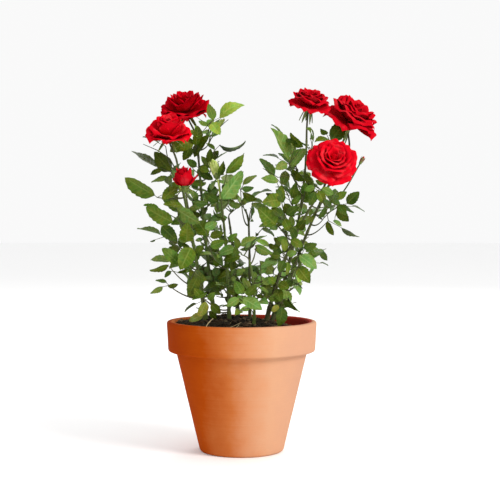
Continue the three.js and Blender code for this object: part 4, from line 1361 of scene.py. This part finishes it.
def petal_grid(ring, head, turn, luck):
    _, root, low, high, tip, width, wrap = ring
    reflex = REFLEX[head["kind"]]
    swing = swings(luck)
    s = np.linspace(-1, 1, PETAL_COLUMNS + 1)[None, :]
    v = np.linspace(0, 1, PETAL_ROWS + 1)[:, None]
    cusp = CUSP[head["kind"]] * v**4 * np.exp(-((s / 0.25) ** 2))
    reach = v * (0.97 + 0.07 * swing[0]) * (1 - 0.15 * np.abs(s) ** 2.5 * v**2) + cusp
    spine = bezier(reach, root, low, high, tip)
    leaned = spun(spine[..., 0] - root[0], spine[..., 1] - root[1], PETAL_LEAN * swing[3])
    out, up = root[0] + leaned[0], root[1] + leaned[1]
    swell = np.sin(np.minimum(v / WIDEST_PETAL, 1) * math.pi / 2) ** 1.2
    half = width * (0.22 + 0.78 * swell) * (1 + 0.07 * swing[1])
    rounding = np.sqrt(np.maximum(1 - ((v - WIDEST_PETAL) / 0.55) ** 2 * 0.85, 0.05))
    half = half * np.where(v > WIDEST_PETAL, rounding, 1)
    roll = np.maximum(v - ROLL_FROM, 0) ** 2 * 13 * reflex * (0.6 + luck[1])
    edge = np.maximum(np.abs(s) - 0.5, 0) ** 2 * v * reflex * 4
    waves = 0.045 * np.sin(s * 5 + 6 * luck[2]) + 0.025 * np.sin(s * 9 + 9 * luck[0])
    ripple = RUFFLE.get(head["name"], 1) * waves
    out = out + roll * 0.35 + ripple * v**3 * 0.5
    up = (up - roll - edge + ripple * v**2) * head["cup"]
    around = np.maximum(out * wrap, 0.12)
    angle = s * half / around
    x, y = out + around * (np.cos(angle) - 1), around * np.sin(angle)
    return np.stack([*spun(x, y, turn + PETAL_TURN * swing[4]), up + 0 * x], axis=2) * head["radius"]


def onto_head(head):
    """Turns points round the flower's own axis into points on the plant."""
    axis = Vector(head["faces"]).normalized()
    turn = np.array(UP.rotation_difference(axis).to_matrix())
    foot = np.array(head["at"], float)
    return lambda points: np.asarray(points) @ turn.T + foot


# %% Hips, hearts and sepals
# Round parts as (radius, height) pairs, in shares of the head's radius
HIP = {
    "open": [(0, -0.34), (0.1, -0.33), (0.155, -0.24), (0.165, -0.14), (0.12, -0.04)],
    "half": [(0, -0.66), (0.2, -0.64), (0.34, -0.45), (0.37, -0.2), (0.3, 0.05)],
    "bud": [(0, -1.0), (0.5, -0.9), (0.78, -0.4), (0.8, 0.1), (0.72, 0.6)],
}
HEART = {
    "open": [(0.05, -0.05), (0.17, 0.06), (0.14, 0.3), (0.08, 0.52), (0.02, 0.6)],
    "half": [(0.1, 0.0), (0.4, 0.3), (0.36, 0.9), (0.2, 1.3), (0.04, 1.45)],
}
BUD_BODY = [(0.7, 0.3), (0.98, 1.1), (0.85, 2.1), (0.5, 2.9), (0.1, 3.4)]
SEPAL = {
    "open": {"length": 0.78, "drop": -0.75, "root": (0.1, -0.06), "width": 0.1, "curl": -0.2},
    "half": {"length": 1.3, "drop": -0.35, "root": (0.28, -0.1), "width": 0.19, "curl": -0.3},
    "bud": {"length": 3.1, "drop": 9, "root": (0.78, 0.1), "width": 0.5, "curl": -0.3},
}
SEPALS = 5
SEPAL_THICKNESS = 0.4


def turned_body(heap, profile, place, radius, tone, sides=10):
    points = [place([[0, 0, h * radius]])[0] for _, h in profile]
    heap.stalk(points, [max(r, 0.02) * radius for r, _ in profile], sides, tone)


def sepal_grid(shape, turn, radius):
    out_start, up_start = shape["root"]
    grid = []
    for v in np.linspace(0, 1, 6):
        width = shape["width"] * (1 - v) ** 0.7 * (0.6 + 1.2 * v) if v < 1 else 0.01
        norm = math.hypot(1, shape["drop"])
        out = out_start + shape["length"] * v / norm + shape["curl"] * (v * v - v) * 0.4
        up = up_start + shape["length"] * v * shape["drop"] / norm + shape["curl"] * (v * v) * 0.3
        grid.append([[*spun(out - abs(side) * 0.03, side * width, turn), up] for side in (-1, 0, 1)])
    return np.array(grid) * radius


# %% Build the heads on their stems
PETAL_SEEDS = 500
RING_OFFSET = 0.41  # of a petal's width, from ring to ring
GREEN_TONES = {"red": 1, "green": 2}  # the place of a bud's finish among those of the calyx

petal_heaps = {"bright": Heap(), "rich": Heap(), "deep": Heap()}
green_parts = Heap()


def add_petals(number, head, place):
    petals = petal_heaps.get(head["tone"], petal_heaps["deep"])
    for r, ring in enumerate(PETAL_RINGS[head["kind"]]):
        for k in range(ring[0]):
            luck = draws(number * PETAL_SEEDS + r * 20 + k + 1, 5)
            turn = (k + r * RING_OFFSET) / ring[0] * 2 * math.pi
            petals.shell(place(petal_grid(ring, head, turn, luck)), PETAL_THICKNESS)
    if head["kind"] in HEART:
        turned_body(petals, HEART[head["kind"]], place, head["radius"], 0, 12)


def add_calyx(head, place):
    kind, radius = head["kind"], head["radius"]
    tone = GREEN_TONES.get(head["tone"], 0)
    turned_body(green_parts, HIP[kind], place, radius, 0)
    if kind == "bud":
        turned_body(green_parts, BUD_BODY, place, radius, tone)
    shape = {**SEPAL[kind], "drop": HANGING.get(head["name"], SEPAL[kind]["drop"])}
    for k in range(SEPALS):
        grid = sepal_grid(shape, (k + 0.25) / SEPALS * 2 * math.pi, radius)
        green_parts.shell(place(grid), SEPAL_THICKNESS, tone, tone)


def add_stem(head):
    foot = Vector(head["at"])
    axis = Vector(head["faces"]).normalized()
    start, out = root_on(head["cane"], head["share"], foot)
    bend = (foot - start).length * 0.35
    stem = Line(start, start + out * bend, foot - axis * bend, foot)
    thick = CANE_TIP_RADIUS * (1 if head["share"] == 1 else 0.85)
    heap, tone = (green_parts, GREEN_TONES["green"]) if head["tone"] == "green" else (twigs, 0)
    radii = np.linspace(thick * 1.05, thick * 0.85, 12)
    heap.stalk([start - out * SUNK] + line_points(stem, 11), radii, 8, tone)


for number, head in enumerate(HEADS):
    place = onto_head(head)
    if head["tone"] != "green":
        add_petals(number, head, place)
    add_calyx(head, place)
    add_stem(head)
print("petal points:", {tone: heap.count for tone, heap in petal_heaps.items()})

# %% [markdown]
# A rose petal is velvety: it has a soft sheen at a slant and hardly any hard gloss. Here the finish has no
# gloss, and the sheen is painted highlight: lighter pinkish patches between faint veins. A petal is darkest
# at its foot, which is painted shade where the petals crowd into the heart, and along its margin. Three reds
# are dealt out by bloom, because older blooms are deeper.

# %% Petal finishes
def petal_finish(name, base, dark, edge, lit):
    finish = Finish(name, Roughness=0.6, Specular_IOR_Level=0.0)
    across, along = finish.across()
    off = finish.maths("ABSOLUTE", across - 0.5) * 2
    veins = finish.noise(700, detail=3, roughness=0.6)
    # Painted shade: each petal is darker at its foot, down where the petals crowd into the heart.
    foot = 1 - finish.step(along, 0.1, 0.6)
    margin = finish.step(finish.maths("MAXIMUM", off, along), 0.9, 1.0)
    body = finish.mix(foot * 0.8, base, dark)
    veined = finish.mix(finish.step(veins, 0.45, 0.7) * 0.2, body, dark)
    # Painted highlight: soft patches of the lit colour stand in for the velvet's sheen.
    painted_highlight = finish.step(finish.noise(110, detail=2), 0.52, 0.68)
    overlaid = finish.mix(painted_highlight * 0.5, veined, lit)
    finish.colour(finish.mix(margin * 0.5, overlaid, edge))
    finish.bump(veins, 0.0002, 0.4)
    return finish


def green_finish(name, low, high):
    finish = Finish(name, Roughness=0.5, Specular_IOR_Level=0.3)
    patch = finish.noise(300, detail=3)
    finish.colour(finish.mix(finish.step(patch, 0.35, 0.65), low, high))
    finish.bump(patch, 0.0004, 0.5)
    return finish


# Each red: base, dark for the painted shade at a petal's foot and for its veins, margin, and lit for the
# painted highlight.
PETAL_TONES = {
    "bright": ((0.6, 0.003, 0.012), (0.52, 0.002, 0.006), (0.5, 0.001, 0.008), (0.72, 0.05, 0.06)),
    "rich": ((0.47, 0.003, 0.01), (0.42, 0.002, 0.005), (0.4, 0.001, 0.008), (0.53, 0.03, 0.04)),
    "deep": ((0.47, 0.001, 0.007), (0.26, 0.0005, 0.003), (0.22, 0.001, 0.01), (0.56, 0.015, 0.025)),
}

# %% Pieces of petals, sepals, leaves and twigs
MASS_NODES = [shoot["node"] for shoot in shoots]
bud_nodes = [head["name"] for head in HEADS if head["kind"] == "bud"]
for tone, heap in petal_heaps.items():
    bloom_nodes = [head["name"] for head in HEADS if head["tone"] == tone]
    finish = petal_finish("petal_" + tone, *PETAL_TONES[tone])
    heap.piece("petals_" + tone, "petal", [finish], bloom_nodes, 60)
green_parts.piece("sepals_and_hips", "bud", [
    green_finish("calyx_green", (0.07, 0.12, 0.02), (0.15, 0.2, 0.04)),
    green_finish("calyx_red", (0.2, 0.05, 0.03), (0.16, 0.16, 0.05)),
    green_finish("bud_pale", (0.3, 0.4, 0.06), (0.5, 0.56, 0.18)),
], bud_nodes, 50)
for tone, heap in leaf_heaps.items():
    *colours, roughness = LEAF_TONES[tone]
    finishes = [leaf_finish("leaf_" + tone + hue, *(hued(colour, *shift) for colour in colours), roughness)
                for hue, shift in LEAF_HUES.items()]
    heap.piece("leaves_" + tone, "leaf", [*finishes, under_finish], MASS_NODES, 40)
shoot_bark = bark("shoot_bark", (0.06, 0.06, 0.018), (0.065, 0.075, 0.022))
twigs.piece("shoots_and_stalks", "cane", [shoot_bark], MASS_NODES, 60)

# %% [markdown]
# ## Litter on the soil
#
# Compost is mostly crumbs and slivers of bark, with a dry twig and some pale fibres among them. Each crumb
# is an eight-sided lump, squashed and turned at random and dropped on to the bed.

# %% Crumbs
CRUMBS = 1500
CRUMB_SHARES = (0.62, 0.28, 0.1)  # of compost, brown bark and tan bark
ABOVE_ALL = 200
bed_points = [v.co / MM for v in soil.data.vertices]
bed = BVHTree.FromPolygons(bed_points, [face.vertices[:] for face in soil.data.polygons])
LUMP = np.array([(1, 0, 0), (-1, 0, 0), (0, 1, 0), (0, -1, 0), (0, 0, 1), (0, 0, -1)], float)
LUMP_FACES = [(0, 2, 4), (2, 1, 4), (1, 3, 4), (3, 0, 4), (2, 0, 5), (1, 2, 5), (3, 1, 5), (0, 3, 5)]
litter = Heap()
rng = np.random.default_rng(11)


def on_bed(x, y):
    hit = bed.ray_cast(Vector((x, y, ABOVE_ALL)), -UP)[0]
    return hit.z if hit else soil_edge / MM


for _ in range(CRUMBS):
    r = edge_radius / MM * math.sqrt(rng.random()) * 0.985
    a = rng.random() * 2 * math.pi
    x, y = r * math.cos(a), r * math.sin(a)
    size = 0.7 + 2.6 * rng.random() ** 2.5
    stretch = np.array([size * (1 + 1.2 * rng.random()), size, size * (0.35 + 0.4 * rng.random())])
    points = LUMP * stretch * (0.75 + 0.5 * rng.random((len(LUMP), 1)))
    turn = Matrix.Rotation(rng.random() * 6.28, 3, "Z") @ Matrix.Rotation(0.9 * (rng.random() - 0.5), 3, "X")
    points = points @ np.array(turn).T + (x, y, on_bed(x, y) + size * 0.2)
    tone = int(rng.choice(3, p=CRUMB_SHARES))
    litter.add(points, LUMP_FACES, np.zeros((len(LUMP), 2)), [tone] * len(LUMP_FACES))
print("litter points:", litter.count)

# %% Fibres and straws
FIBRES = 26
FIBRE_REACH = 60
STRAW_TONE = 3


def fibre(start, end, sag, radius):
    bend = [(a + b) / 2 for a, b in zip(start, end)]
    bend[0] += sag
    bend[1] += sag * 0.6
    radii = np.linspace(radius, radius * 0.5, 8)
    litter.stalk(line_points(Line(start, bend, end), 8), radii, 5, STRAW_TONE)


fibre((-34, -56, 124), (-27, -52, 137), -5, 0.7)  # a dry twig
fibre((-14, -52, 127), (0, -48, 133), 2, 0.35)  # two straws at the front
fibre((-9, -58, 126), (-2, -50, 132), 3, 0.3)
for _ in range(FIBRES):
    r, a = FIBRE_REACH * math.sqrt(rng.random()), rng.random() * 6.28
    x, y = r * math.cos(a), r * math.sin(a)
    dx, dy = 16 * (rng.random(2) - 0.5)
    end = (x + dx, y + dy, on_bed(x + dx, y + dy) + 1.2)
    fibre((x, y, on_bed(x, y) + 0.6), end, 3 * rng.random() - 1.5, 0.28)
litter.piece("bark_litter", "soil", [
    compost,
    crumbly("brown_bark", (0.035, 0.02, 0.01), (0.09, 0.055, 0.028)),
    crumbly("tan_bark", (0.11, 0.07, 0.035), (0.2, 0.13, 0.07)),
    crumbly("straw", (0.32, 0.24, 0.12), (0.5, 0.42, 0.25)),
], (), 20)

# %% [markdown]
# ## Light and floor
#
# A plain pale floor runs out of sight, and the light is that of a small studio: one large soft lamp from
# the right and front, a weak one behind, and an even pale surround that fills the shadows.

# %% Studio
FLOOR_SIZE = 14.0
bpy.ops.object.select_all(action="DESELECT")
bpy.ops.mesh.primitive_plane_add(size=FLOOR_SIZE, location=(0, 0, 0))
floor = bpy.context.object
floor.name = "studio_floor"
paper = Finish("studio_paper", Roughness=0.9, Specular_IOR_Level=0.1)
paper.colour(paper.mix(paper.noise(6, detail=2) * 0.1, (0.96, 0.96, 0.96), (0.93, 0.93, 0.93)))
floor.data.materials.append(paper.material)


def lamp(name, place, target, size, power, tint):
    bpy.ops.object.light_add(type="AREA", location=place)
    light = bpy.context.object
    light.name = name
    light.data.shape = "DISK"
    light.data.size = size
    light.data.energy = power
    light.data.color = tint
    aim = Vector(target) - Vector(place)
    light.rotation_mode = "QUATERNION"
    light.rotation_quaternion = aim.to_track_quat("-Z", "Y")
    print(name, power, "W")


lamp("key_lamp", (1.6, -1.2, 1.3), (0, 0, 0.2), 0.9, 38, (1, 0.98, 0.95))
lamp("rim_lamp", (0.6, 1.6, 1.4), (0, 0, 0.25), 1.0, 10, (1, 1, 1))
world = bpy.context.scene.world or bpy.data.worlds.new("studio")
bpy.context.scene.world = world
world.use_nodes = True
surround = world.node_tree.nodes["Background"]
surround.inputs["Color"].default_value = (1, 1, 1, 1)
surround.inputs["Strength"].default_value = 0.95
bpy.context.scene.view_settings.view_transform = "Standard"
